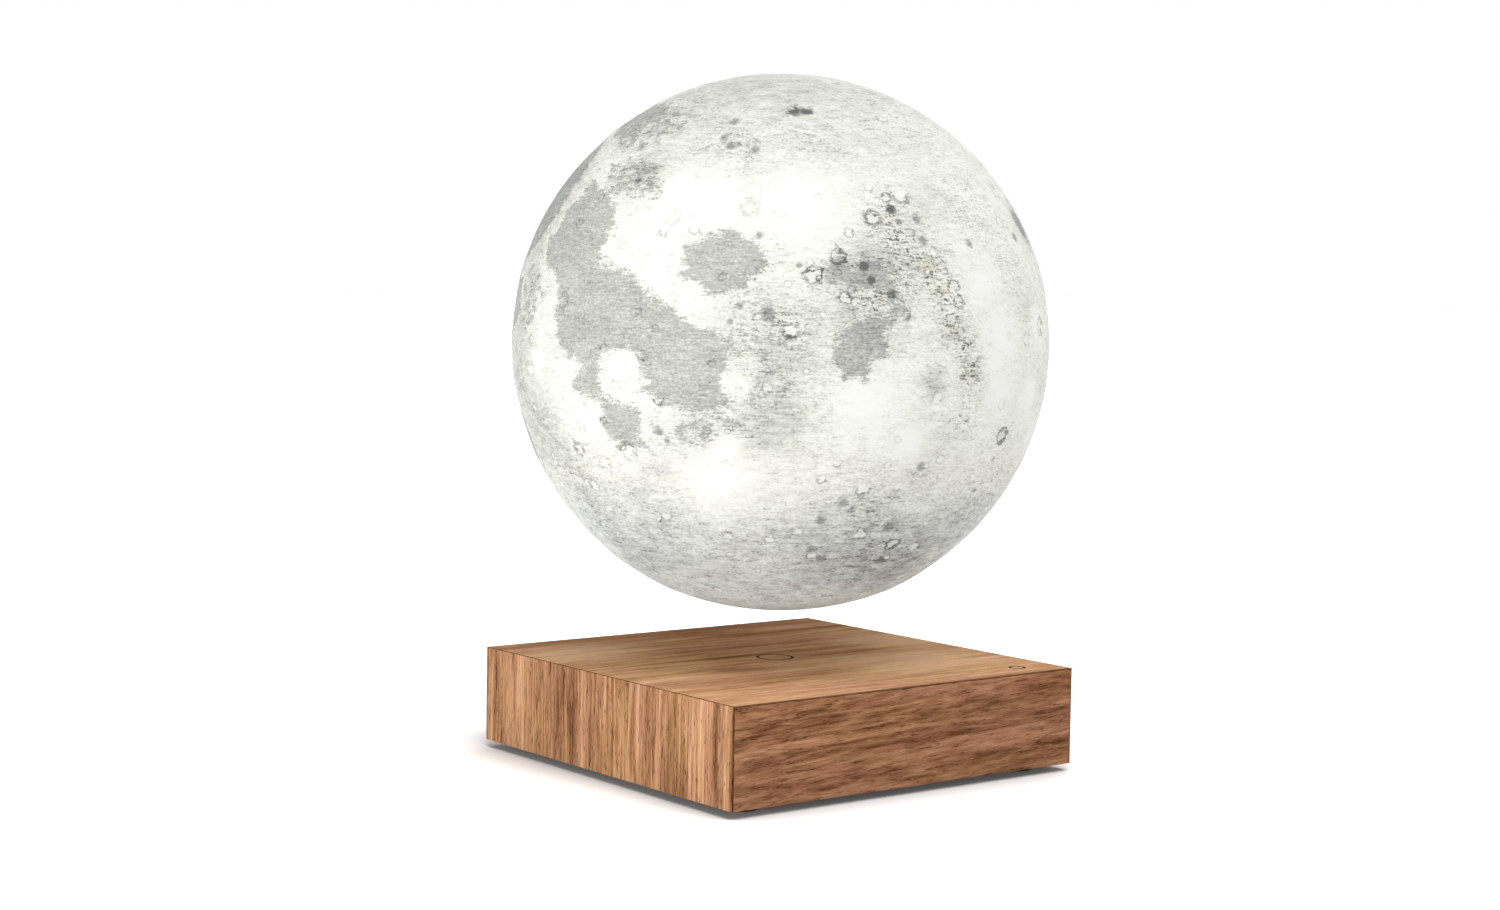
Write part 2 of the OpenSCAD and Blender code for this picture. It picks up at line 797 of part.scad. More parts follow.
module smoothing_capacitor() {
    color("#9aa0a8")
        rotate([0, 0, smoothing_angle])
            translate([side_part_r, 0, get_deck_z])
                cylinder(d = smoothing_d, h = smoothing_h, $fn = 48);
}

module rectifier_chips() {
    color("#202224")
        for (a = rectifier_angles)
            rotate([0, 0, a])
                translate([side_part_r, 0, 0])
                    block_on([rectifier_w, rectifier_w, chip_t], get_deck_z);
}

// ---- which pieces are drawn

top_panel();
front_panel();
back_panel();
left_panel();
right_panel();
corner_blocks();
bottom_plate();
plate_screws();
rubber_feet();
board_spacers();
control_board();
board_screws();
controller_chips();
driver_transistors();
choke();
large_capacitors();
power_inlet();
inlet_pin();
magnet_tray();
ring_magnet();
coil_bobbins();
coil_windings();
coil_cores();
field_sensors();
coil_former();
transmitter_coil();
transmitter_leads();
touch_pad();
touch_lead();
floating_magnet();
moon_shell();
moon_cap();
magnet_cover();
receiver_coil();
receiver_board();
cap_screws();
lights();
light_diffuser();
smoothing_capacitor();
rectifier_chips();
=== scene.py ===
# %% [markdown]
# # A moon lamp: looks for a finished frame
# The lamp is a printed moon globe that floats over a square box veneered with walnut. The frame
# is a CAD model of every piece, inside and out, at its true size. This script keeps that frame
# and gives it its looks: some pieces are modelled again with finer shapes, and the others keep
# their CAD shape and get a material. Lengths are in metres, as in the frame.

# %% Load the frame
import math

import bpy
import numpy as np
from mathutils import Matrix, Vector, noise


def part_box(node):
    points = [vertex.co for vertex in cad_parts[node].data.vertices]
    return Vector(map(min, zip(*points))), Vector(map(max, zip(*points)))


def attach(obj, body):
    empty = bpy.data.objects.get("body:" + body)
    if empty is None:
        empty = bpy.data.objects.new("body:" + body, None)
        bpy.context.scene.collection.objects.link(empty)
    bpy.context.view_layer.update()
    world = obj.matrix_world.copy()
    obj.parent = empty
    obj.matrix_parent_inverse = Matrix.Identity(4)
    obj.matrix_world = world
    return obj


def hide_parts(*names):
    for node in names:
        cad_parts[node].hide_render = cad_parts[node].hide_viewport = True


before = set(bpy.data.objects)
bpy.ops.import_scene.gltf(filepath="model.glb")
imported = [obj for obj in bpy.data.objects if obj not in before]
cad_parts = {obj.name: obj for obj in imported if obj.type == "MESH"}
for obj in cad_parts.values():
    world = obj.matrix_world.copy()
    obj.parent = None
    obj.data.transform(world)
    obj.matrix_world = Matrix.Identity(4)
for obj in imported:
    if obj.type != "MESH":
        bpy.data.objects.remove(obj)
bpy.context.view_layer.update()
MM = 0.001

# %% [markdown]
# ## The camera
# The photograph was taken from a low place at the front left, so that two sides of the box and a
# sliver of its top show. The camera's place, its turn and its lens were worked out from the
# corners of the box. A camera looks along its own -Z, so the three columns of its matrix are
# the directions of the picture's right, of its top, and from the object back to the camera.

# %% Camera
PICTURE_RIGHT = Vector((0.79535, -0.60595, 0.01591))
PICTURE_UP = Vector((0.03106, 0.06695, 0.99727))
CAMERA_PLACE = Vector((-0.403317, -0.515879, 0.127608))
FOCAL_PIXELS = 2504.13
PICTURE_WIDTH = 1500
SENSOR_MM = 36.0

camera_data = bpy.data.cameras.new("camera")
camera = bpy.data.objects.new("camera", camera_data)
bpy.context.scene.collection.objects.link(camera)
turn = Matrix((PICTURE_RIGHT, PICTURE_UP, PICTURE_RIGHT.cross(PICTURE_UP))).transposed().to_4x4()
camera.matrix_world = Matrix.Translation(CAMERA_PLACE) @ turn
camera_data.sensor_width = SENSOR_MM
camera_data.lens = FOCAL_PIXELS / PICTURE_WIDTH * SENSOR_MM
bpy.context.scene.camera = camera
bpy.context.scene.view_settings.view_transform = "Standard"
print("lens in mm:", round(camera_data.lens, 2))

# %% [markdown]
# ## Sizes taken from the frame
# Pieces that are modelled again must fill the same place as the CAD solid they stand for, so
# their sizes are read from the boxes of the CAD nodes. Only what a box can't tell is typed in:
# the globe's radius, its wall and the hole at its bottom.

# %% Sizes
top_low, top_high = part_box("top_panel")
left_low, left_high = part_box("left_panel")
BASE_W = top_high.x - top_low.x
BOX_Z = left_low.z
TOP_Z = top_high.z
BOARD_T = left_high.x - left_low.x
MOON_R = 0.070
MOON_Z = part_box("moon_shell")[1].z - MOON_R
MOON_CENTRE = Vector((0, 0, MOON_Z))
SHELL_T = 0.0018
OPENING_R = 0.030
OPENING_Z = MOON_Z - math.sqrt(MOON_R ** 2 - OPENING_R ** 2)
print("base", round(BASE_W / MM, 1), "board", round(BOARD_T / MM, 1), "top", round(TOP_Z / MM, 1))
print("moon centre at", round(MOON_Z / MM, 2), "opening at", round(OPENING_Z / MM, 2))

# %% [markdown]
# ## Small helpers
# Colours are written as they look on a screen, so one function turns them into the linear values
# that Blender's nodes want. Another adds a shader node. Its inputs are given by name or number,
# each as a number, a colour, another node or one output of a node, and the last two are linked.
# Before a piece is modelled, everything is deselected, because an operator acts on all that is
# selected.

# %% Helpers
def linear(colour):
    """A colour such as "#8A5A3C" as linear red, green and blue, with alpha 1."""
    levels = [int(colour[i:i + 2], 16) / 255 for i in (1, 3, 5)]
    return [c / 12.92 if c <= 0.04045 else ((c + 0.055) / 1.055) ** 2.4 for c in levels] + [1.0]


def join(tree, node, inputs):
    """Sets or links a node's inputs. Of several with one name, the one in use is taken."""
    for name, value in inputs.items():
        named = [s for s in node.inputs if s.enabled and s.name == name]
        socket = named[0] if named else node.inputs[name]
        if isinstance(value, bpy.types.Node):
            value = [s for s in value.outputs if s.enabled][0]
        if isinstance(value, bpy.types.NodeSocket):
            tree.links.new(value, socket)
        else:
            socket.default_value = value


def add(tree, kind, inputs=None, stops=(), **settings):
    """Adds a node of that kind with its settings and inputs, and a colour ramp with its stops."""
    made = tree.nodes.new("ShaderNode" + kind)
    for name, value in settings.items():
        setattr(made, name, value)
    for number, (place, colour) in enumerate(stops):
        if number > 1:
            made.color_ramp.elements.new(1.0)
        made.color_ramp.elements[number].position = place
        made.color_ramp.elements[number].color = linear(colour)
    join(tree, made, inputs or {})
    return made


def new_material(name):
    """A material with one Principled shader; returns the material, its tree and the shader."""
    material = bpy.data.materials.new(name)
    material.use_nodes = True
    tree = material.node_tree
    return material, tree, tree.nodes["Principled BSDF"]


def in_mm(tree, per, place=(0.0, 0.0, 0.0), turn=(0.0, 0.0, 0.0)):
    """Object coordinates, counted in pattern sizes of so many millimetres along x, y and z."""
    here = add(tree, "TexCoord").outputs["Object"]
    turned = add(tree, "Mapping", {"Vector": here, "Rotation": turn})
    scale = [1 / (MM * size) for size in per]
    return add(tree, "Mapping", {"Vector": turned, "Location": place, "Scale": scale})


def start_piece():
    """Leaves edit mode and deselects everything, so that the next operator is on its own."""
    if bpy.context.object and bpy.context.object.mode != "OBJECT":
        bpy.ops.object.mode_set(mode="OBJECT")
    bpy.ops.object.select_all(action="DESELECT")


def only(piece):
    """Selects one piece alone and makes it the active one."""
    start_piece()
    piece.select_set(True)
    bpy.context.view_layer.objects.active = piece


def edit(piece, mode="FACE"):
    """Enters edit mode on one piece with nothing selected."""
    only(piece)
    bpy.ops.object.mode_set(mode="EDIT")
    bpy.ops.mesh.select_mode(type=mode)
    bpy.ops.mesh.select_all(action="DESELECT")


def pick(piece, test, kind="polygons"):
    """Selects the faces, edges or vertices for which test is true, and nothing else."""
    bpy.ops.object.mode_set(mode="OBJECT")
    mesh = piece.data
    for part in mesh.polygons, mesh.edges, mesh.vertices:
        part.foreach_set("select", [False] * len(part))
    for item in getattr(mesh, kind):
        item.select = bool(test(item))
    bpy.ops.object.mode_set(mode="EDIT")


def finish_piece(piece, material, body, node):
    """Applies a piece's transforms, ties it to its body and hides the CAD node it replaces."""
    only(piece)
    bpy.ops.object.transform_apply(location=True, rotation=True, scale=True)
    if material:
        piece.data.materials.clear()
        piece.data.materials.append(material)
    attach(piece, body)
    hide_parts(node)
    print(piece.name, "has", len(piece.data.polygons), "faces and replaces", node)


print("a mid grey in linear light:", round(linear("#808080")[0], 3))

# %% [markdown]
# ## A map of the moon
# The globe is a map: the dark seas of the real moon are printed grey into a white ball. A picture
# could be wrapped round the ball, but the script uses none, so the map is written as a list. Each
# sea is an outline of points in degrees of longitude and latitude. The seas that the
# photograph doesn't show are rounder, as ovals with a centre and two half widths.

# %% Seas as outlines
FACING_LONGITUDE = 71.5          # the longitude that looks at the camera
CAMERA_ANGLE = math.degrees(math.atan2(CAMERA_PLACE.y, CAMERA_PLACE.x))

SEA_OUTLINES = {
    "serenity_and_tranquillity": [
        (16, 35.5), (23.5, 32.5), (27.5, 31), (30.5, 28), (32, 25), (30.5, 23.5), (30.5, 21),
        (29.5, 19.5), (30, 17.5), (32.5, 16.5), (36.5, 16), (39.5, 15), (40.5, 13.5), (43, 11.5),
        (46, 10.5), (47.5, 9), (50, 8), (52, 6.5), (53.5, 5), (56, 4), (60.5, 3), (63, 1.5),
        (61, -1), (61, -3), (60.5, -5), (59.5, -6.5), (60.5, -8.5), (61, -10.5), (58.5, -11),
        (56, -12), (52, -11), (50.5, -11), (47.5, -10.5), (45.5, -9.5), (43.5, -8), (44.5, -6.5),
        (43, -4.5), (43, -1.5), (40.5, 0), (37, -0.5), (33.5, -0.5), (32.5, -4), (32, -6.5),
        (33, -8.5), (33.5, -9.5), (30, -11), (29.5, -10), (26.5, -9.5), (25.5, -7.5), (26, -6),
        (27.5, -3.5), (27, -2), (24, -1.5), (21.5, 0), (20.5, 2.5), (19.5, 5.5), (19.5, 8.5),
        (19, 11), (17.5, 13), (15, 15), (12, 16), (9.5, 18), (9.5, 20), (9.5, 22.5),
        (11, 25.5), (11, 28.5), (13.5, 31.5)],
    "crises": [
        (51, 20.5), (53.5, 22), (56, 23), (59, 23.5), (61.5, 24), (63.5, 22.5), (65, 21.5),
        (67, 20.5), (68, 19.5), (68.5, 17.5), (67, 15.5), (65, 14.5), (64.5, 13), (63, 12),
        (60, 11), (58, 10.5), (56, 11.5), (55, 13), (53, 13.5), (51.5, 14.5), (50.5, 15.5),
        (52, 16.5), (51, 18.5)],
    "nectar": [
        (33.5, -10), (36.5, -10.5), (39.5, -11), (42, -12), (42, -14.5), (42, -16.5),
        (42.5, -19.5), (39.5, -20), (37.5, -19.5), (34, -18.5), (32.5, -16.5), (32.5, -13.5),
        (33, -11.5)],
    "lake_of_dreams": [
        (20.5, 39.5), (27, 39), (31, 40.5), (39, 39), (38.5, 37), (37.5, 35.5), (41, 34),
        (41, 31.5), (38, 31.5), (35.5, 30), (32.5, 31.5), (27, 33), (23.5, 36)],
    "cold_east": [
        (10, 50.5), (14.5, 52.5), (20, 54.5), (28, 55.5), (35, 54), (36.5, 51.5), (34.5, 48.5),
        (31.5, 46), (28.5, 44.5), (19.5, 47.5)],
    "southern_arm": [
        (56, -12), (58.5, -11), (61, -10.5), (61, -12.5), (58.5, -14.5), (57, -17), (53.5, -18.5),
        (51.5, -17), (51, -15), (53.5, -13.5)],
    "edge_sea": [
        (81, 18.5), (83, 20), (85, 18.5), (86.5, 16.5), (88, 17.5), (91, 17), (94, 16),
        (94.5, 13.5), (95.5, 10.5), (93.5, 12), (90.5, 12), (88, 12.5), (85.5, 13.5), (83, 14),
        (81, 13), (80, 15)],
    "edge_sea_south": [
        (84.5, 5.5), (86, 6.5), (89, 7), (91, 6.5), (93.5, 7.5), (94, 9), (95.5, 10), (98, 9),
        (97.5, 7), (95.5, 7), (93.5, 6), (92, 4), (91.5, 1.5), (92.5, 0), (90.5, -0.5), (88, -2),
        (89, -3.5), (88.5, -5), (84, -5), (83, -3), (81.5, -1), (81.5, 1)],
    "vapours": [
        (0.5, 7.5), (0.5, 13), (2, 16), (11, 13), (13, 10), (10.5, 7), (8, 3.5), (2, 4.5)],
    "fertility_east": [
        (60, 4), (66, 4), (71, 1), (74, -4), (73, -9), (69, -14), (64, -17), (59, -13), (59, -5)],
    "edge_sea_north": [
        (71.5, 55.5), (74, 57.5), (76.5, 58.5), (79.5, 57.5), (83, 56.5), (82.5, 55), (80, 55),
        (76.5, 54), (73.5, 54)],
}

# A mottled sea covers only part of its ground. This is the most that its attribute rises to
MOTTLED = {"lake_of_dreams": 0.42, "cold_east": 0.4, "southern_arm": 0.5, "vapours": 0.42,
           "edge_sea": 0.9, "fertility_east": 0.33}

# Longitude, latitude, half width and half height in degrees
SEA_OVALS = [
    (-16, 33, 19, 17), (-55, 20, 18, 30), (-48, 45, 14, 12), (-35, 10, 16, 16), (-23, -9, 10, 9),
    (-17, -21, 12, 10), (-39, -24, 7, 6.5), (-25, 56, 30, 4.5), (0, 57, 14, 4), (-60, -4, 7, 16),
    (-10, 8, 9, 6), (-92, -19, 5, 5), (148, 27, 4, 3.6), (163, -34, 5, 5), (176, -38, 4, 4),
]
print("outlined seas:", len(SEA_OUTLINES), "oval seas:", len(SEA_OVALS))

# %% [markdown]
# Between the seas the ball isn't plain white. Soft grey shades darken some regions, chiefly the
# far south and the edge of the facing side, and bright splashes stay clean. At the edge of the
# facing side the grey is partly print and partly painted shade, which darkens the ball's rim. A
# belt of ground is thick with flecks. Each spot is a longitude, a latitude and a size in degrees,
# and a shade or a speckled spot has a strength from 0 to 1 as well.

# %% Shades, bright splashes and speckled ground
# Partly painted shade: the spots near longitude 0 and near 140, at the two edges of the facing
# side, darken the ball's rim
SHADES = [
    (148, 27, 5, .4), (88, 15, 6, .2), (89, 1, 6, .2), (88, 17, 4, .2),
    (78, 68, 8, .16), (56, 64, 10, .16), (4, 40, 7, .15), (2, 5, 4, .3), (1, -8, 4, .25),
    (6, -17, 7, .14), (12, -26, 7, .12), (26, -35, 7, .14), (43, -36, 7, .14), (24, -45, 9, .2),
    (49, -46, 11, .1), (51, -64, 9, .2), (94, -58, 15, .2), (94, -35, 10, .26),
    (114, -49, 10, .26), (77, -40, 9, .22), (122, -37, 9, .16), (153, -33, 5, .16),
    (141, -6, 4, .12), (107, -21, 8, .16), (114, -4, 4, .2), (103, -6, 3, .24), (136, 10, 5, .1),
    (101, 21, 7, .16), (96, 17, 7, .14), (63, -12, 11, .08), (75, -9, 11, .1), (92, 7, 7, .14),
    (39, -3, 4, .12), (35, 37, 4, .12), (67, 8, 7, .2), (30, 72, 14, .14), (110, 66, 12, .14),
    (67, -3, 8, .13), (74, 2, 7, .2), (70, -14, 8, .12), (82, 9, 6, .2), (89, 21, 6, .18),
    (-4, 20, 9, .2), (-8, -6, 9, .22), (-4, -26, 8, .18), (-12, 36, 10, .2), (46, -24, 5, .16),
    (8, 30, 6, .15), (20, 62, 9, .13), (40, 60, 9, .12), (60, -34, 8, .1), (66, -46, 12, .08),
    (108, 4, 6, .18), (106, 32, 6, .14), (34, -30, 8, .14), (85, -46, 10, .08),
    (26, 36, 4, .26), (33, 36, 4, .28), (38, 38, 3, .22), (16, 50, 5, .22), (28, 50, 6, .24),
    (3, -2, 8, .3), (3, 20, 7, .24), (4, -18, 8, .18), (0, 36, 8, .24), (8, -38, 9, .2),
    (22, -50, 9, .2), (40, -44, 10, .1), (60, -44, 9, .05), (118, -45, 12, .18),
    (105, -50, 12, .16), (94, -44, 10, .12), (132, -38, 10, .18), (66, -10, 7, .06),
    (75, 30, 14, .05), (50, 45, 10, .1), (90, 45, 14, .08),
    (16, -21, 6, .24), (19, -33, 6, .24), (10, -14, 6, .22), (38, -3, 4, .16), (54, -17, 5, .26),
    (69, -15, 6, .12), (7, 11, 4, .34), (104, -6, 2.4, .14), (132, 10, 8, .06), (138, -7, 8, .07),
    (140, -26, 8, .1), (72, 48, 12, .12), (37, 42, 7, .14), (37, -50, 10, .1),
    (0, -80, 24, .2), (70, -78, 26, .2), (150, -70, 20, .3), (-60, -60, 18, .16),
    (-150, -50, 16, .2), (170, -45, 20, .2), (-110, 10, 12, .08), (-160, 20, 14, .1),
    (-130, -30, 12, .1), (-60, 62, 12, .14), (180, 60, 14, .12), (120, 44, 10, .06),
]
BRIGHT = [
    (17.5, 13, .9), (22, 13, .7), (12, 12, .8), (44, 9, 1.4), (36, 1, 1.4), (63, -7, 2.4),
    (61, -19, 3), (58, -26, 6.6), (39, -2, 4), (13, -3, 2.6), (23, -5, 2), (29, -14, 4),
    (38, 19, 2.6), (45, 15, 2.6), (49, 13, 2.6), (120, -2, 3), (122, 5, 4), (89, -10, 7),
    (99, -18, 4), (45, 24, 5), (55, 30, 8), (75, 30, 9), (46, 32, 6), (-11, -43, 6), (-20, 10, 3),
    (122, -8, 5), (117, 14, 5), (123, 3, 5), (136, -9, 5), (140, 5, 5), (146, -18, 5),
    (-38, 8, 2.2), (-47, 24, 2), (-145, 35, 7), (-110, -50, 7), (160, 5, 8), (-75, 45, 6),
]
SPECKLED = [
    (95, 27, 5, .9), (98, 22, 6, .9), (104, 17, 5, 1), (107, 12, 5, 1), (108, 6, 4, 1),
    (111, 1, 3.5, 1), (113, -4, 4, .9), (115, -9, 4, .7), (103, -5, 4, .35), (96, 14, 5, .8),
    (90, 13, 6, 1), (84, 17, 3, .7), (79, 15, 3, .6), (112, -13, 4, .6), (90, 6, 6, .6),
    (73, 4, 5, .8), (66, 6, 6, .6), (63, 20, 6, .3), (70, 20, 4, .5), (58, 45, 9, .5),
    (76, 45, 8, .45), (121, 30, 8, .45), (130, 18, 7, .35), (60, -16, 7, .45), (47, -17, 5, .5),
    (37, -2, 4, .45), (93, -33, 11, .35), (20, -30, 14, .3), (40, -38, 14, .25),
    (70, -44, 14, .22), (100, -46, 14, .3), (130, -32, 14, .35), (140, 5, 10, .4),
    (-140, 0, 30, .4), (170, 0, 26, .4), (-150, -40, 28, .35), (-130, 45, 24, .35),
    (20, 55, 14, .3), (115, 58, 14, .3), (0, -45, 22, .3), (30, 36, 6, .5), (84, -8, 9, .3),
]
print("shades:", len(SHADES), "bright:", len(BRIGHT), "speckled:", len(SPECKLED))

# %% [markdown]
# A crater is printed as a dark ring, a dark floor, a nearly black spot, a short arc or a bold
# ring. The list gives each one's longitude, latitude and radius in degrees, and its kind.

# %% Craters
CRATERS = [
    (91.5, 27, 1.7, "ring"), (85.8, 23.8, 1, "ring"), (96.6, 29.1, 1.2, "black"),
    (102.5, 27.3, .9, "dark"), (97.8, 26.4, .8, "dark"), (88.5, 16.9, 1.1, "dark"),
    (77.8, 15, 1.9, "ring"), (75.1, 16.9, .7, "dark"), (77.3, 17.6, .8, "arc"),
    (84.2, 10.6, 1.4, "ring"), (89.7, 14.2, .8, "dark"),
    (93.9, 11.2, 1.1, "dark"), (102.9, 22.5, 1, "dark"), (115.9, 22, 1, "dark"),
    (108.8, 13.1, 1.4, "ring"), (109.7, 10, 1.3, "ring"), (73.6, 4, 1.6, "arc"),
    (92.2, 33.9, .9, "arc"), (99.7, 32.7, 2.2, "arc"), (96.2, 31.8, 1.2, "ring"),
    (83, 18.9, 1.7, "ring"), (97.2, 6.9, .8, "dark"), (127.1, -17.3, 1.9, "bold"),
    (103.8, -23.2, 1.1, "dark"), (80.9, -25.6, 1, "arc"), (83.9, -22.3, .7, "arc"),
    (90.7, -28, 1.6, "arc"), (86.5, -31.2, 1.3, "dark"), (81.8, -35.3, 1, "dark"),
    (124.7, -29.5, .6, "dark"), (126.9, -22.4, .6, "dark"), (101.1, -37.3, 1.5, "dark"),
    (105, -42.9, 1.7, "ring"), (81, -43.8, 1, "dark"), (84.2, -46.6, 1.1, "dark"),
    (98.6, -47.3, .8, "dark"), (89.3, -32.5, .9, "dark"), (105.1, -47.9, 1.3, "dark"),
    (36.5, -20.3, 1.2, "ring"), (46.3, -16.2, 1.1, "dark"), (23.1, -21.1, 1.6, "ring"),
    (48, -18.2, .7, "dark"), (47, -9.9, 1.1, "arc"), (55.1, 52.1, 1.2, "dark"),
    (63.8, 43.1, 1, "dark"), (56.8, 44.2, 1.1, "dark"), (66.7, 23.1, .9, "dark"),
    (69.1, 7.5, 1.5, "dark"), (63.6, 8.8, .7, "dark"), (66.3, 14, .35, "dark"),
    (61.7, 5.7, .6, "dark"), (45.4, 23.8, 1.2, "arc"), (52.6, 24, 1.1, "arc"),
    (33.5, 35.2, .9, "dark"), (53.9, 46.8, .9, "dark"), (137, 24, 1.2, "dark"),
    (75.2, 56.4, 1.6, "dark"), (79.4, 56, 1.5, "dark"),
    (-9.4, 51.6, 1.7, "dark"), (-68.6, -5.2, 2.6, "dark"), (-11.2, -43.3, 1.4, "ring"),
    (-20, 9.6, 1.6, "ring"), (-47, 23.7, .8, "ring"), (141, 5, 2, "ring"), (-155, -5, 2, "ring"),
    (-140, 45, 3, "ring"), (-128, -36, 4, "ring"), (-150, -20, 2.2, "arc"), (175, 20, 2, "arc"),
    (-95, 5, 3, "ring"), (-115, 40, 2, "arc"), (170, -20, 2, "dark"), (-165, 55, 2.4, "ring"),
]
print("craters:", len(CRATERS))

# %% [markdown]
# ## From the map to numbers on the ball
# A vertex of the ball lies in some direction from its centre. The helpers below turn a longitude
# and a latitude into such a direction, and measure how far, in degrees, every vertex lies from
# it. For an outline, the ball is unrolled flat round the middle of the sea, and the distance to
# the nearest side is counted as plus inside and minus outside.

# %% Map helpers
def direction(longitude, latitude):
    """The direction from the ball's centre to a place on the map."""
    angle = math.radians(CAMERA_ANGLE + longitude - FACING_LONGITUDE)
    flat = math.cos(math.radians(latitude))
    return np.array((flat * math.cos(angle), flat * math.sin(angle),
                     math.sin(math.radians(latitude))))


def degrees_from(directions, longitude, latitude):
    """How many degrees each direction lies away from a place on the map."""
    return np.degrees(np.arccos(np.clip(directions @ direction(longitude, latitude), -1, 1)))


def unroll(directions, middle):
    """Places on a flat map round the middle, in degrees, at their true distance from it."""
    east = np.cross((0, 0, 1), middle)
    east /= np.linalg.norm(east)
    north = np.cross(middle, east)
    cosine = np.clip(directions @ middle, -1, 1)
    away = np.degrees(np.arccos(cosine))
    across = np.sqrt(np.maximum(1 - cosine ** 2, 1e-12))
    return np.stack((directions @ east, directions @ north), 1) / across[:, None] * away[:, None]


def inside_outline(directions, outline):
    """Degrees inside an outline, below zero outside it."""
    corners = np.array([direction(*p) for p in outline])
    middle = corners.mean(0) / np.linalg.norm(corners.mean(0))
    shape = unroll(corners, middle)
    place = unroll(directions, middle)
    nearest = np.full(len(place), np.inf)
    inside = np.zeros(len(place), bool)
    for a, b in zip(shape, np.roll(shape, -1, 0)):
        side = b - a
        along = np.clip((place - a) @ side / (side @ side), 0, 1)
        nearest = np.minimum(nearest, np.linalg.norm(place - a - along[:, None] * side, axis=1))
        crosses = (a[1] > place[:, 1]) != (b[1] > place[:, 1])
        height = side[1] or 1.0      # no place crosses a level side
        inside ^= crosses & (place[:, 0] < a[0] + (place[:, 1] - a[1]) * side[0] / height)
    return np.where(inside, nearest, -nearest)


def inside_oval(directions, longitude, latitude, half_w, half_h):
    """About as many degrees inside an oval, below zero outside it."""
    place = unroll(directions, direction(longitude, latitude))
    reach = np.hypot(place[:, 0] / half_w, place[:, 1] / half_h)
    return (1 - reach) * min(half_w, half_h)


def spots(directions, places):
    """How much soft round spots cover each direction, from 0 to 1, the strongest spot winning."""
    cover = np.zeros(len(directions))
    for longitude, latitude, size, strength in places:
        away = degrees_from(directions, longitude, latitude)
        cover = np.maximum(cover, strength * np.exp(-(away / size) ** 2))
    return cover


def bumpy(directions, size_mm, octaves, seed):
    """Noise between about -1 and 1 on the ball, with bumps of that size."""
    step = MOON_R / (size_mm * MM)
    shift = Vector((seed * 7.31, seed * 3.17, seed * 5.73))
    return np.array([noise.fractal(Vector(d) * step + shift, 0.9, 2.0, octaves)
                     for d in directions])


print("facing direction:", direction(FACING_LONGITUDE, 0).round(3))

# %% [markdown]
# ## The printed shell
# The real globe is a thin printed shell with a hole at the bottom, where the lit and magnetic
# parts go in. It starts as a UV sphere, whose rows of faces lie level as the printer's layers
# do. The bisect operator cuts the hole. A second, coarser sphere, cut a little higher and
# turned inside out, is the inner wall, and bridging the two edges closes the rim.

# %% Shell: outer wall, with its hole
SEGMENTS, ROWS = 460, 232

start_piece()
bpy.ops.mesh.primitive_uv_sphere_add(segments=SEGMENTS, ring_count=ROWS, radius=MOON_R,
                                     location=MOON_CENTRE)
shell = bpy.context.object
shell.name = "printed_moon"
bpy.ops.object.transform_apply(location=True)
bpy.ops.object.mode_set(mode="EDIT")
bpy.ops.mesh.select_all(action="SELECT")
bpy.ops.mesh.bisect(plane_co=(0, 0, OPENING_Z), plane_no=(0, 0, 1), clear_inner=True)
bpy.ops.object.mode_set(mode="OBJECT")
print("outer wall:", len(shell.data.vertices), "vertices")

# %% [markdown]
# The print is a relief as well: seas lie a little lower, ground between them is rough, and
# craters are shallow bowls. Moving the vertices inwards along their own direction makes it real
# shape, so it shows on the outline too. Near the hole the relief fades out, so that the cap
# fits flush. First, each vertex finds out how far it lies inside a sea.

# %% Shell: where the seas are
mesh = shell.data
count = len(mesh.vertices)
co = np.empty(count * 3)
mesh.vertices.foreach_get("co", co)
co = co.reshape(-1, 3)
ways = co - np.array(MOON_CENTRE)
ways /= np.linalg.norm(ways, axis=1)[:, None]

# The coast lines wander: each vertex reads the map a little beside its own place
BENDS, BEND_REACH = 16, 0.011      # bends to one radius of the ball, and their reach in radii
wander = np.array([noise.turbulence_vector(Vector(d) * BENDS, 3, False) for d in ways])
read = ways + wander * BEND_REACH
read /= np.linalg.norm(read, axis=1)[:, None]

COAST_DEG = 3.3          # the sea attribute runs from 0 to 1 over this distance across the coast
sea = np.zeros(count)
for name, outline in SEA_OUTLINES.items():
    inside = np.clip(0.5 + inside_outline(read, outline) / COAST_DEG, 0, MOTTLED.get(name, 1))
    sea = np.maximum(sea, inside)
for oval in SEA_OVALS:
    sea = np.maximum(sea, np.clip(0.5 + inside_oval(read, *oval) / COAST_DEG, 0, 1))

print("share of the ball under sea:", round(float((sea > 0.5).mean()), 3))

# %% [markdown]
# Random small craters lie between the ones of the list. They come from a seeded generator, so
# they are the same in each run. A height that is even between two levels is even over a ball.

# %% Shell: small craters
SMALL_CRATERS, SEED = 330, 7
LOWEST, HIGHEST = -0.9, 0.98                  # in radii of the ball
SMALLEST_DEG, SPREAD_DEG, RARITY = 1.2, 2.2, 4     # a high rarity keeps most of them small
chance = np.random.default_rng(SEED)
small_craters = []
for _ in range(SMALL_CRATERS):
    latitude = math.degrees(math.asin(chance.uniform(LOWEST, HIGHEST)))
    longitude = chance.uniform(-180, 180)
    size = SMALLEST_DEG + SPREAD_DEG * chance.random() ** RARITY
    small_craters.append((longitude, latitude, size))
largest = max(size for *_, size in small_craters)
print("small craters:", len(small_craters), "up to", round(largest, 1), "degrees")

# %% [markdown]
# The depth below a true ball adds up: a plain depth that keeps the relief inside the CAD shell,
# the seas, some roughness, and for each crater a bowl with a raised lip.

# %% Shell: depth
PLAIN_MM, SEA_MM, ROUGH_MM, DEEPEST_MM = 0.14, 0.16, 0.12, 0.9
BOWL_SHARE, LIP_SHARE = 0.055, 0.35     # a bowl's depth to its width, and its lip to that depth
LIP_PLACE, LIP_WIDTH = 1.05, 0.22       # in radii of the crater
SHOWN_DEG = 1.1                         # a listed crater up to this size is only printed
FADE_HEIGHT = 0.006                     # the relief fades in over this height above the hole

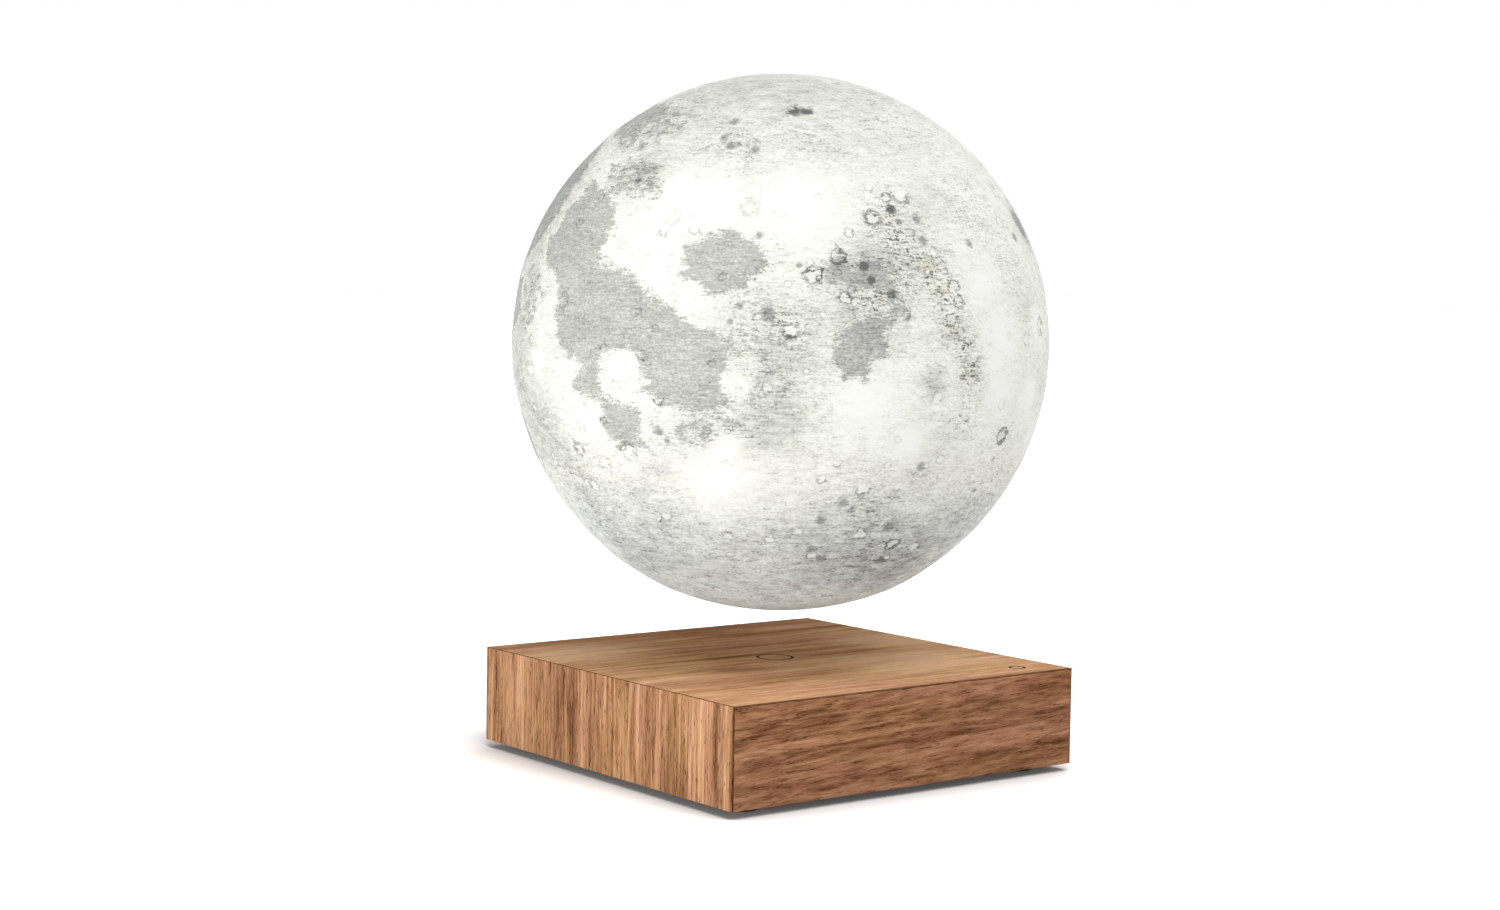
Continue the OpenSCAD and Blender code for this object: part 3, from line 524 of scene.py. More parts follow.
depth_mm = (PLAIN_MM + SEA_MM * np.clip(2 * sea - 0.5, 0, 1)
            + ROUGH_MM * bumpy(ways, size_mm=7, octaves=5, seed=1))
for longitude, latitude, size in small_craters + [c[:3] for c in CRATERS if c[2] > SHOWN_DEG]:
    away = degrees_from(ways, longitude, latitude) / size
    width_mm = 2 * math.radians(size) * MOON_R / MM
    lip = LIP_SHARE * np.exp(-((away - LIP_PLACE) / LIP_WIDTH) ** 2)
    depth_mm += BOWL_SHARE * width_mm * (np.where(away < 1, 1 - away ** 2, 0) - lip)

fade = np.clip((co[:, 2] - OPENING_Z) / FADE_HEIGHT, 0, 1)
depth_mm = np.clip(depth_mm, 0, DEEPEST_MM) * fade
co = np.array(MOON_CENTRE) + ways * (MOON_R - depth_mm * MM)[:, None]
mesh.vertices.foreach_set("co", co.ravel())
mesh.update()
print("relief in mm: from", round(float(depth_mm.min()), 3), "to", round(float(depth_mm.max()), 3))

# %% [markdown]
# What the print shows is kept on the mesh as attributes, which the material reads: how far a
# place lies inside a sea, how much grey shade it has, and how speckled it is. An attribute
# blends evenly between vertices, so a sharp coast is made later, in the material.

# %% Shell: attributes for the print
SOUTH_SHADE, SOUTH_SPECKLE = 0.1, 0.3      # round the hole, and on the cap


def keep(mesh, name, kind, domain, values):
    """Stores one value for each vertex or face corner on the mesh, under that name."""
    layer = mesh.attributes.new(name, kind, domain)
    layer.data.foreach_set("value" if kind == "FLOAT" else "vector", np.ravel(values))


shade = np.zeros(count)
for longitude, latitude, size, strength in SHADES:
    away = degrees_from(read, longitude, latitude)
    shade = shade + (1 - shade) * strength * np.exp(-(away / size) ** 2)
clean = spots(read, [(*spot, 1) for spot in BRIGHT])
shade = shade * (1 - clean)
speckle = spots(read, SPECKLED) * (1 - clean)
keep(mesh, "sea", "FLOAT", "POINT", sea * fade)
keep(mesh, "shade", "FLOAT", "POINT", shade * fade + SOUTH_SHADE * (1 - fade))
keep(mesh, "clean", "FLOAT", "POINT", clean * fade)
keep(mesh, "speckle", "FLOAT", "POINT", speckle * fade + SOUTH_SPECKLE * (1 - fade))
print("attributes:", [a.name for a in mesh.attributes if a.data_type == "FLOAT"])

# %% [markdown]
# A crater ring is finer than the mesh. But a flat map of one crater, with its centre at 0, 0
# and its rim at 1, is even across a face, so it stays sharp when it is stored on face
# corners. Each face keeps the map of the crater that it lies nearest to.

# %% Shell: crater maps on the face corners
# How dark the rim and the floor of each kind are, and whether its ring is open at the north
INK = {"ring": (0.8, 0.1, 0), "dark": (0.4, 0.85, 0), "arc": (0.6, 0, 1), "bold": (1.8, 0.3, 0),
       "black": (0.7, 1.3, 0), "faint": (0.3, 0.05, 0)}
FAINT_SHARE = 0.55       # a small crater's printed ring is this much of its bowl
MAP_REACH = 1.9          # a crater's map reaches out to this many of its radii
NO_CRATER = 9.0          # a distance at which nothing is drawn

faces = len(mesh.polygons)
centres = np.empty(faces * 3)
mesh.polygons.foreach_get("center", centres)
centres = centres.reshape(-1, 3) - np.array(MOON_CENTRE)
centres /= np.linalg.norm(centres, axis=1)[:, None]
small_rings = [(lon, lat, FAINT_SHARE * size, "faint") for lon, lat, size in small_craters]
all_craters = CRATERS + small_rings
owner = np.full(faces, -1)
nearest = np.full(faces, MAP_REACH)
for number, (longitude, latitude, size, kind) in enumerate(all_craters):
    away = degrees_from(centres, longitude, latitude) / size
    closer = away < nearest
    owner[closer], nearest[closer] = number, away[closer]

totals = np.empty(faces, int)
mesh.polygons.foreach_get("loop_total", totals)
corner_vertex = np.empty(len(mesh.loops), int)
mesh.loops.foreach_get("vertex_index", corner_vertex)
corner_owner = np.repeat(owner, totals)
place = np.full((len(corner_vertex), 3), NO_CRATER)
ink = np.zeros((len(corner_vertex), 3))
for number in np.unique(owner[owner >= 0]):
    longitude, latitude, size, kind = all_craters[number]
    here = corner_owner == number
    flat = unroll(ways[corner_vertex[here]], direction(longitude, latitude)) / size
    place[here] = np.column_stack((flat, np.zeros(len(flat))))
    ink[here] = INK[kind]
keep(mesh, "crater_place", "FLOAT_VECTOR", "CORNER", place)
keep(mesh, "crater_ink", "FLOAT_VECTOR", "CORNER", ink)
print("faces with a crater:", int((owner >= 0).sum()), "of", faces)

# %% [markdown]
# The inner wall is another sphere with a smaller radius, its hole as wide. It is smooth and
# hidden, so it has a fifth of the segments. It is turned inside out, joined to the outer wall,
# and the two open edges, the only ones that belong to one face each, are bridged.

# %% Shell: inner wall and rim
INNER_R = MOON_R - SHELL_T
inner_z = MOON_Z - math.sqrt(INNER_R ** 2 - OPENING_R ** 2)
start_piece()
bpy.ops.mesh.primitive_uv_sphere_add(segments=SEGMENTS // 5, ring_count=ROWS // 5, radius=INNER_R,
                                     location=MOON_CENTRE)
lining = bpy.context.object
bpy.ops.object.transform_apply(location=True)
bpy.ops.object.mode_set(mode="EDIT")
bpy.ops.mesh.select_all(action="SELECT")
bpy.ops.mesh.bisect(plane_co=(0, 0, inner_z), plane_no=(0, 0, 1), clear_inner=True)
bpy.ops.mesh.select_all(action="SELECT")
bpy.ops.mesh.flip_normals()
bpy.ops.object.mode_set(mode="OBJECT")
print("inner wall:", len(lining.data.vertices), "vertices")
shell.select_set(True)
bpy.context.view_layer.objects.active = shell
bpy.ops.object.join()

edit(shell, "EDGE")
bpy.ops.mesh.select_non_manifold(extend=False, use_wire=False, use_multi_face=False,
                                 use_non_contiguous=False, use_verts=False)
bpy.ops.mesh.bridge_edge_loops()
bpy.ops.object.mode_set(mode="OBJECT")
bpy.ops.object.shade_smooth_by_angle(angle=math.radians(35))
print("shell:", len(shell.data.vertices), "vertices,", len(shell.data.polygons), "faces")

# %% [markdown]
# ## The print's material
# The globe is printed in white PLA, layer on layer, and its surface is matt with fine level
# lines. The printer can't shade, so its greys are made of fine flecks and dashes along the
# layers. The material builds one number, the amount of grey, from the attributes and from noise
# that is stretched level, and turns it into a colour at the end. A real layer is 0.2 mm high.
# It is drawn twice as coarse, so that it shows in a picture of this size.

# %% Printed moon material
LAYER_MM = 0.42
# Painted shade at the ball's rim, where it is seen edge-on
PAINTED_LIMB_SHADE = 0.12          # grey added where the ball is seen edge-on
# Partly painted fill light: the light inside is lit, and its glow also evens out the ball's shading
GLOW = 0.22               # the light inside is on at its dimmest step
# Painted fill light: a stronger glow at the bottom lifts the ball's shaded underside
UNDERSIDE_FILL_GLOW = 0.4            # the same at the bottom, close to the ring of lights
# Painted tint: the bottom of the ball is made cooler, to cancel the warm light the wood throws up
UNDERSIDE_COOL_TINT = "#E6F0FA"          # the far south is printed in a cooler grey
PAPER, PALE_GREY, GREY, DARK = "#E5E6E1", "#D3D4CC", "#BABBB5", "#585957"
WARM = "#F8F0DE"          # the yellowed paper of the speckled ground
# Noises of the print: width and height of their spots in mm, detail, roughness and place
PRINT_NOISES = [
    (0.7, LAYER_MM, 2.0, 0.6, (3, 7, 1)),          # grain of the layers
    (2.8, LAYER_MM, 3.0, 0.65, (0, 0, 0)),         # dashes along a layer
    (1.5, 0.9, 2.0, 0.6, (6, 1, 8)),               # specks
    (4.0, 2.2, 6.0, 0.72, (1, 4, 2)),              # patches
    (4.0, 2.2, 6.0, 0.72, (1.07, 4.05, 2.12)),     # the same patches, moved a little
    (6.0, 1.3, 5.0, 0.68, (4, 6, 3)),              # smears along the layers
    (15.0, 6.0, 3.0, 0.6, (5, 2, 9)),              # clouds
]


def printed_moon(name, mapped):
    """White PLA, printed in layers. Without the map, as on the cap, all of it is southern grey."""
    material, tree, shader = new_material(name)

    grain, dashes, specks, patches, beside, smears, clouds = (
        add(tree, "TexNoise", {"Vector": in_mm(tree, (wide, wide, high), place), "Scale": 1.0,
                               "Detail": detail, "Roughness": roughness})
        for wide, high, detail, roughness, place in PRINT_NOISES)
    fine = add(tree, "Math", {0: grain, 1: dashes}, operation="ADD")
    fine = add(tree, "MapRange", {"Value": fine, "From Min": 0.6, "From Max": 1.4, "To Min": -1.0},
               clamp=False)
    relief = add(tree, "Math", {0: beside, 1: patches}, operation="SUBTRACT")
    texture = add(tree, "Math", {0: patches, 1: smears}, operation="ADD")

    if mapped:
        sea, shade, clean, speckled = (add(tree, "Attribute", attribute_name=n).outputs["Fac"]
                                       for n in ("sea", "shade", "clean", "speckle"))
    else:
        sea, shade, clean, speckled = 0.0, SOUTH_SHADE, 0.0, SOUTH_SPECKLE

    # Seas: their coast is ragged where the map runs through its middle value
    coast = add(tree, "Math", {0: patches, 1: 1.8, 2: sea}, operation="MULTIPLY_ADD")
    coast = add(tree, "Math", {0: fine, 1: 0.3, 2: coast}, operation="MULTIPLY_ADD")
    in_sea = add(tree, "MapRange", {"Value": coast, "From Min": 1.17, "From Max": 1.57},
                 interpolation_type="SMOOTHSTEP")
    sea_grey = add(tree, "Math", {0: clouds, 1: 0.3, 2: 0.235}, operation="MULTIPLY_ADD")
    sea_grey = add(tree, "Math", {0: patches, 1: 0.35, 2: sea_grey}, operation="MULTIPLY_ADD")
    sea_grey = add(tree, "Math", {0: shade, 1: 0.35, 2: sea_grey}, operation="MULTIPLY_ADD")
    sea_grey = add(tree, "Math", {0: fine, 1: 0.3, 2: sea_grey}, operation="MULTIPLY_ADD")

    # Ground between the seas: shade broken into patches, and flecks, darker where speckled
    broken = add(tree, "MapRange", {"Value": texture, "From Min": 0.8, "From Max": 1.18,
                                    "To Min": 0.72, "To Max": 1.16})
    wash = add(tree, "Math", {0: texture, 1: clouds}, operation="ADD")
    wash = add(tree, "MapRange", {"Value": wash, "From Min": 1.3, "From Max": 1.9,
                                  "To Max": 0.17})
    ground = add(tree, "Math", {0: shade, 1: broken, 2: wash}, operation="MULTIPLY_ADD")
    amount = add(tree, "Math", {0: speckled, 1: 0.6, 2: 0.36}, operation="MULTIPLY_ADD")
    flecks = add(tree, "MapRange", {"Value": fine, "From Min": -0.1, "From Max": 0.9})
    marks = add(tree, "MapRange", {"Value": specks, "From Min": 0.55, "From Max": 0.66})
    marks = add(tree, "Math", {0: marks, 1: speckled}, operation="MULTIPLY")
    flecks = add(tree, "Math", {0: marks, 1: 1.1, 2: flecks}, operation="MULTIPLY_ADD")
    flecks = add(tree, "Math", {0: flecks, 1: broken}, operation="MULTIPLY")
    bumps = add(tree, "Math", {0: relief, 1: 2.5, 2: flecks}, operation="MULTIPLY_ADD")
    ground = add(tree, "Math", {0: bumps, 1: amount, 2: ground}, operation="MULTIPLY_ADD")
    kept = add(tree, "Math", {0: clean, 1: -0.9, 2: 1.0}, operation="MULTIPLY_ADD")
    ground = add(tree, "Math", {0: ground, 1: kept}, operation="MULTIPLY")

    if mapped:
        # Craters: the distance from the centre of the nearest one, roughened, makes rim and floor
        spot = add(tree, "Attribute", attribute_name="crater_place").outputs["Vector"]
        amounts = add(tree, "Attribute", attribute_name="crater_ink").outputs["Vector"]
        rim_ink, floor_ink, is_arc = add(tree, "SeparateXYZ", {0: amounts}).outputs
        away = add(tree, "VectorMath", {0: spot}, operation="LENGTH").outputs["Value"]
        away = add(tree, "Math", {0: specks, 1: 2.0, 2: away}, operation="MULTIPLY_ADD")
        away = add(tree, "Math", {0: fine, 1: 0.14, 2: away}, operation="MULTIPLY_ADD")
        gap = add(tree, "Math", {0: away, 1: 1.85}, operation="SUBTRACT")
        gap = add(tree, "Math", {0: gap}, operation="ABSOLUTE")
        rim = add(tree, "MapRange", {"Value": gap, "From Min": 0.34, "From Max": 0.05})
        rim = add(tree, "Math", {0: rim, 1: broken}, operation="MULTIPLY")
        side = add(tree, "SeparateXYZ", {0: spot}).outputs[1]
        opened = add(tree, "Math", {0: is_arc, 1: side}, operation="MULTIPLY", use_clamp=True)
        rim = add(tree, "Math", {0: rim, 1: rim_ink}, operation="MULTIPLY")
        rim = add(tree, "Math", {0: rim, 1: opened}, operation="SUBTRACT", use_clamp=True)
        inside = add(tree, "MapRange", {"Value": away, "From Min": 1.9, "From Max": 1.55})
        floor = add(tree, "Math", {0: inside, 1: floor_ink}, operation="MULTIPLY")
        emptied = add(tree, "Math", {0: inside, 1: -0.6, 2: 1.0}, operation="MULTIPLY_ADD")
        ground = add(tree, "Math", {0: ground, 1: emptied}, operation="MULTIPLY")
        crater = add(tree, "Math", {0: rim, 1: floor}, operation="MAXIMUM")
    else:
        crater = 0.0

    grey = add(tree, "Mix", {"Factor": in_sea, "A": ground, "B": sea_grey})
    grey = add(tree, "Math", {0: crater, 1: 0.75, 2: grey}, operation="MULTIPLY_ADD")
    # Painted shade: grey added where the ball is seen edge-on darkens its rim
    limb_shade = add(tree, "LayerWeight", {"Blend": 0.5}).outputs["Facing"]
    limb_shade = add(tree, "MapRange", {"Value": limb_shade, "From Min": 0.68, "To Max": PAINTED_LIMB_SHADE},
                  interpolation_type="SMOOTHSTEP")
    grey = add(tree, "Math", {0: grey, 1: limb_shade}, operation="ADD")
    colour = add(tree, "ValToRGB", {"Fac": grey},
                 [(0.0, PAPER), (0.22, PALE_GREY), (0.45, GREY), (1.0, DARK)])
    warmth = add(tree, "Math", {0: clouds, 1: speckled}, operation="MULTIPLY")
    tint = add(tree, "ValToRGB", {"Fac": warmth}, [(0.42, "#FFFFFF"), (0.7, WARM)])
    colour = add(tree, "VectorMath", {0: colour, 1: tint}, operation="MULTIPLY")
    layers = add(tree, "Bump", {"Height": fine, "Strength": 0.3, "Distance": 0.0001})
    height = add(tree, "TexCoord").outputs["Object"]
    height = add(tree, "SeparateXYZ", {0: height}).outputs[2]
    # Painted tint: cooler towards the bottom, cancelling the warm light that the wood throws up
    underside = add(tree, "MapRange", {"Value": height, "From Min": MOON_CENTRE.z - 0.45 * MOON_R,
                                   "From Max": MOON_CENTRE.z - 0.95 * MOON_R})
    tint = add(tree, "ValToRGB", {"Fac": underside}, [(0.0, "#FFFFFF"), (1.0, UNDERSIDE_COOL_TINT)])
    colour = add(tree, "VectorMath", {0: colour, 1: tint}, operation="MULTIPLY")
    # The ring of lights sits low in the ball, and the glow is made stronger there as painted fill
    # light, which lifts the ball's shaded underside
    glow_and_fill = add(tree, "MapRange", {"Value": height, "From Min": MOON_CENTRE.z - MOON_R,
                                  "From Max": MOON_CENTRE.z - 0.3 * MOON_R,
                                  "To Min": UNDERSIDE_FILL_GLOW, "To Max": GLOW},
               interpolation_type="SMOOTHSTEP")
    join(tree, shader, {"Base Color": colour, "Roughness": 0.62, "IOR": 1.46, "Normal": layers,
                        "Emission Color": colour, "Emission Strength": glow_and_fill})
    return material


shell_print = printed_moon("printed_white_pla", True)
cap_print = printed_moon("printed_white_pla_cap", False)
finish_piece(shell, shell_print, "moon", "moon_shell")

# %% [markdown]
# ## The walnut boards
# The box is made of five boards with walnut veneer, mitred so that no end grain shows. Each is a
# cube pressed flat, whose inner face is made smaller by one board thickness all round, except
# along the bottom. The bevel operator then breaks the sharp outer edges, and gives the new strip
# the second material, the dark glue line that shows at the veneer's cut edge.

# %% Wall boards
HALF = BASE_W / 2
INNER_SHARE = 1 - 2 * BOARD_T / BASE_W
FACE_EDGE = 0.00042       # dark edge of the front and back veneers
SIDE_EDGE = 0.00016       # the side and top veneers lap over the others, so they show less
LOW_EDGE = 0.0003         # rounding of the edge along the bottom
SMOOTH_UNDER = math.radians(32)
FACE_SLOT, EDGE_SLOT, BURNT_SLOT = range(3)


def wall_board(name, turn_deg, edge):
    """One wall, modelled as the front one and turned round the lamp's axis."""
    start_piece()
    bpy.ops.mesh.primitive_cube_add(size=1, location=(0, -HALF + BOARD_T / 2, (BOX_Z + TOP_Z) / 2),
                                    scale=(BASE_W, BOARD_T, TOP_Z - BOX_Z))
    board = bpy.context.object
    board.name = name
    bpy.ops.object.transform_apply(location=True, scale=True)
    board.data.materials.append(None)
    board.data.materials.append(None)
    edit(board)
    inner_y = -HALF + BOARD_T
    pick(board, lambda f: f.normal.y > 0.9)
    bpy.ops.transform.resize(value=(INNER_SHARE, 1, 1), center_override=(0, inner_y, 0))
    bpy.ops.mesh.select_mode(type="VERT")
    pick(board, lambda v: v.co.y > inner_y - 1e-6 and v.co.z > TOP_Z - 1e-6, "vertices")
    bpy.ops.transform.translate(value=(0, 0, -BOARD_T))
    bpy.ops.mesh.select_mode(type="EDGE")
    points = board.data.vertices

    def outer(e, low):
        ends = [points[i].co for i in e.vertices]
        is_low = all(p.z < BOX_Z + 1e-6 for p in ends)
        return all(p.y < -HALF + 1e-6 for p in ends) and is_low == low

    pick(board, lambda e: outer(e, False), "edges")
    bpy.ops.mesh.bevel(offset=edge, segments=3, material=EDGE_SLOT, clamp_overlap=False)
    pick(board, lambda e: outer(e, True), "edges")
    bpy.ops.mesh.bevel(offset=LOW_EDGE, segments=3, clamp_overlap=False)
    bpy.ops.object.mode_set(mode="OBJECT")
    bpy.ops.object.shade_smooth_by_angle(angle=SMOOTH_UNDER)
    board.rotation_euler.z = math.radians(turn_deg)
    bpy.ops.object.transform_apply(rotation=True)
    return board


front = wall_board("front_board", 0, FACE_EDGE)
back = wall_board("back_board", 180, FACE_EDGE)
left = wall_board("left_board", -90, SIDE_EDGE)
right = wall_board("right_board", 90, SIDE_EDGE)
print("walls:", [len(b.data.polygons) for b in (front, back, left, right)])

# %% [markdown]
# The back board has a round hole for the power inlet. A cylinder is placed in it and a boolean
# modifier takes it away, which is how a drill would do it. Its place is the middle of the CAD
# inlet, and its radius is that of the hole in the CAD board.

# %% Hole for the power inlet
inlet_low, inlet_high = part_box("power_inlet")
INLET_X = (inlet_low.x + inlet_high.x) / 2
INLET_Z = (inlet_low.z + inlet_high.z) / 2
INLET_HOLE_R = 0.0043


def cut(piece, cutter, slot):
    """Takes the cutter out of the piece with an applied boolean. The new faces get that slot."""
    for _ in range(slot + 1):
        cutter.data.materials.append(None)
    for face in cutter.data.polygons:
        face.material_index = slot
    only(piece)
    modifier = piece.modifiers.new("cut", "BOOLEAN")
    modifier.object = cutter
    modifier.operation = "DIFFERENCE"
    modifier.solver = "EXACT"
    modifier.material_mode = "INDEX"
    bpy.ops.object.modifier_apply(modifier=modifier.name)
    bpy.data.objects.remove(cutter)


start_piece()
bpy.ops.mesh.primitive_cylinder_add(vertices=64, radius=INLET_HOLE_R, depth=4 * BOARD_T,
                                    location=(INLET_X, HALF - BOARD_T / 2, INLET_Z),
                                    rotation=(math.pi / 2, 0, 0))
cut(back, bpy.context.object, EDGE_SLOT)
print("back board with its hole:", len(back.data.polygons), "faces")

# %% [markdown]
# The top board is cut the same way on all four sides. Two fine rings are burnt into it with a
# laser: one at the middle, over which the moon floats, and a small one near the front right
# corner, the touch switch. A laser leaves a round-bottomed groove, so the cutter is a
# thin torus that lies half in the wood.

# %% Top board
RING_R, TOUCH_R, LINE_W = 0.005, 0.0023, 0.0007
TOUCH_X, TOUCH_Y = 0.043, -0.047

start_piece()
bpy.ops.mesh.primitive_cube_add(size=1, location=(0, 0, TOP_Z - BOARD_T / 2),
                                scale=(BASE_W, BASE_W, BOARD_T))
top = bpy.context.object
top.name = "top_board"
bpy.ops.object.transform_apply(location=True, scale=True)
for _ in range(3):
    top.data.materials.append(None)
edit(top)
pick(top, lambda f: f.normal.z < -0.9)
bpy.ops.transform.resize(value=(INNER_SHARE, INNER_SHARE, 1), center_override=(0, 0, 0))
pick(top, lambda f: f.normal.z > 0.9)
bpy.ops.mesh.bevel(offset=SIDE_EDGE, segments=3, material=EDGE_SLOT, clamp_overlap=False)
bpy.ops.object.mode_set(mode="OBJECT")
for x, y, r in ((0, 0, RING_R), (TOUCH_X, TOUCH_Y, TOUCH_R)):
    start_piece()
    bpy.ops.mesh.primitive_torus_add(major_segments=96, minor_segments=14, location=(x, y, TOP_Z),
                                     major_radius=r - LINE_W / 2, minor_radius=LINE_W / 2)
    cut(top, bpy.context.object, BURNT_SLOT)
only(top)
bpy.ops.object.shade_smooth_by_angle(angle=SMOOTH_UNDER)
print("top board:", len(top.data.polygons), "faces")

# %% [markdown]
# ## The walnut's material
# Walnut veneer is sliced thin, sanded and oiled. Three things make it look like walnut: broad
# light and dark bands along the grain, fine streaks within them, and open pores, which are
# short dark dashes. All are noise that is stretched along the grain. The bands are 5 to 8 mm
# wide, the streaks about 1 mm, and a pore is about 0.3 by 3 mm. The front and back boards are
# darker than the sides and the top: partly a darker sheet, partly painted shade, as the front
# gets less light than the left side. On the top, broad paler and darker places are painted light
# and painted shadow: the moon's shadow behind the ring and the light round it. The oil leaves
# the wood without a shine: gloss would lay a pale haze over the top at this low angle.

# %% Walnut
# Painted light and shadow on the top: pale places where light comes round the moon, dark ones in
# the moon's shadow. Centre, half length, half width in mm, and amount
TOP_PAINTED_LIGHT_AND_SHADOW = [(26, -24, 36, 22, 0.26), (46, 10, 24, 26, 0.28), (-38, 32, 26, 24, 0.2),
              (-22, -12, 20, 12, -0.12), (14, 42, 44, 14, -0.14), (-12, 6, 16, 14, -0.08)]


def walnut(name, along, tones, place, band_mm=6.5, pore_dark=0.8, slant=0.0,
           streak_mm=22.0, figure=0.55, places=()):
    """Sliced walnut veneer, oiled, with its grain along x or z.

    tones are the dark, middle and pale wood and the pores. place shifts the pattern, so that no
    two boards are alike, slant tilts it, and figure is the contrast of the streaks.
    """
    material, tree, shader = new_material(name)

    # Length along the grain and width in mm, detail, roughness, distortion and place
    noises = (
        (80, band_mm, 2.0, 0.5, 0.8, (0, 0, 0)),           # bands
        (streak_mm, 1.1, 4.0, 0.62, 0.5, (11, 3, 5)),      # streaks
        (6, 0.3, 2.0, 0.7, 0.3, (5, 8, 2)),                # fibres
        (3.0, 0.28, 2.0, 0.55, 0.9, (17, 9, 4)),           # pores
        (8.0, 0.5, 2.0, 0.6, 1.0, (2, 15, 12)),            # ticks, which are rows of pores
        (60, 7.0, 1.0, 0.5, 0.8, (9, 5, 14)),              # hues
    )
    made = []
    for length, width, detail, roughness, distortion, shift in noises:
        per = (length, width, width) if along == "x" else (width, width, length)
        where = in_mm(tree, per, [a + b for a, b in zip(place, shift)], (0, slant, 0))
        made.append(add(tree, "TexNoise", {"Vector": where, "Scale": 1.0, "Detail": detail,
                                           "Roughness": roughness, "Distortion": distortion}))
    bands, streaks, fibres, pores, ticks, hues = made

    mix = add(tree, "Math", {0: bands, 1: 0.6}, operation="MULTIPLY")
    mix = add(tree, "Math", {0: streaks, 1: figure, 2: mix}, operation="MULTIPLY_ADD")
    mix = add(tree, "Math", {0: mix, 1: 0.3 + figure / 2 - 0.5}, operation="SUBTRACT")
    # Painted light and shadow: soft paler and darker places for the moon's shadow and the light
    # round it
    for x, y, long, wide, amount in places:
        away = in_mm(tree, (long, wide, 1000), (-x / long, -y / wide, 0))
        away = add(tree, "VectorMath", {0: away}, operation="LENGTH").outputs["Value"]
        painted_light_and_shadow = add(tree, "MapRange", {"Value": away, "To Min": amount, "To Max": 0.0},
                    interpolation_type="SMOOTHSTEP")
        mix = add(tree, "Math", {0: mix, 1: painted_light_and_shadow}, operation="ADD")
    wood = add(tree, "ValToRGB", {"Fac": mix}, [(0.3, tones[0]), (0.5, tones[1]), (0.7, tones[2])])
    fibre = add(tree, "MapRange", {"Value": fibres, "From Min": 0.3, "From Max": 0.7,
                                   "To Min": 0.8, "To Max": 1.17})
    wood = add(tree, "VectorMath", {0: wood, "Scale": fibre}, operation="SCALE")
    tint = add(tree, "ValToRGB", {"Fac": hues}, [(0.4, "#FFF5F4"), (0.6, "#FFFAEC")])
    wood = add(tree, "VectorMath", {0: wood, 1: tint}, operation="MULTIPLY")

    # Pores are denser in the dark bands, and some join into longer ticks
    limit = add(tree, "MapRange", {"Value": mix, "From Min": 0.3, "From Max": 0.7,
                                   "To Min": 0.54, "To Max": 0.66})
    over = add(tree, "Math", {0: pores, 1: limit}, operation="SUBTRACT")
    pore = add(tree, "MapRange", {"Value": over, "From Max": 0.06, "To Max": pore_dark})
    limit = add(tree, "Math", {0: limit, 1: 0.01}, operation="ADD")
    over = add(tree, "Math", {0: ticks, 1: limit}, operation="SUBTRACT")
    tick = add(tree, "MapRange", {"Value": over, "From Max": 0.1, "To Max": pore_dark * 0.7})
    pore = add(tree, "Math", {0: pore, 1: tick}, operation="MAXIMUM")
    colour = add(tree, "Mix", data_type="RGBA")
    join(tree, colour, {"Factor": pore, "A": wood, "B": linear(tones[3])})
    rough = add(tree, "MapRange", {"Value": streaks, "To Min": 0.55, "To Max": 0.68})
    height = add(tree, "Math", {0: fibres, 1: pore}, operation="SUBTRACT")
    surface = add(tree, "Bump", {"Height": height, "Strength": 0.25, "Distance": 0.0001})
    join(tree, shader, {"Base Color": colour, "Roughness": rough, "IOR": 1.45,
                        "Specular IOR Level": 0.0, "Normal": surface})
    return material


def veneer_edge(name, light, dark):
    """The cut edge of a veneer with its dark line of glue."""
    material, tree, shader = new_material(name)
    patchy = add(tree, "TexNoise", {"Vector": in_mm(tree, (3.0, 3.0, 3.0)), "Scale": 1.0,
                                    "Detail": 3.0})
    colour = add(tree, "ValToRGB", {"Fac": patchy}, [(0.35, dark), (0.65, light)])
    join(tree, shader, {"Base Color": colour, "Roughness": 0.65, "Specular IOR Level": 0.12})
    return material


# Dark, middle and pale wood, and pores
PALE_SHEET = ("#93643F", "#CDA17C", "#E9C3A0", "#54351E")
SIDE_SHEET = ("#7E573D", "#B58A68", "#DDB38D", "#4B2F1B")
# Partly painted shade: the front and back sheet is darker, as the front gets less light than the
# left
DARK_SHEET_AND_SHADE = ("#6D4931", "#9C7054", "#BC9070", "#442A18")
glue = veneer_edge("veneer_edge_dark", "#6A4326", "#3E2312")
thin_edge = veneer_edge("veneer_edge_thin", "#744C32", "#4C2F1D")
burnt = veneer_edge("laser_burnt_walnut", "#3A2216", "#20110A")
back_wood = walnut("walnut_veneer_back", "x", DARK_SHEET_AND_SHADE, (21, 14, 9), slant=0.02)
top_wood = walnut("walnut_veneer_top", "x", PALE_SHEET, (4, 9, 2), band_mm=7.5, pore_dark=0.5,
                  figure=0.5, places=TOP_PAINTED_LIGHT_AND_SHADOW)
front_wood = walnut("walnut_veneer_front", "x", DARK_SHEET_AND_SHADE, (13, 2, 7), band_mm=5.0,
                    pore_dark=0.75, slant=0.045, streak_mm=10.0, figure=0.8)
left_wood = walnut("walnut_veneer_left", "z", SIDE_SHEET, (3, 6, 11), band_mm=5.5,
                   pore_dark=0.9, streak_mm=26.0, figure=0.7)
right_wood = walnut("walnut_veneer_right", "z", SIDE_SHEET, (8, 19, 3))
boards = [
    (top, top_wood, thin_edge, "top_panel"), (front, front_wood, glue, "front_panel"),
    (back, back_wood, glue, "back_panel"), (left, left_wood, thin_edge, "left_panel"),
    (right, right_wood, thin_edge, "right_panel"),
]
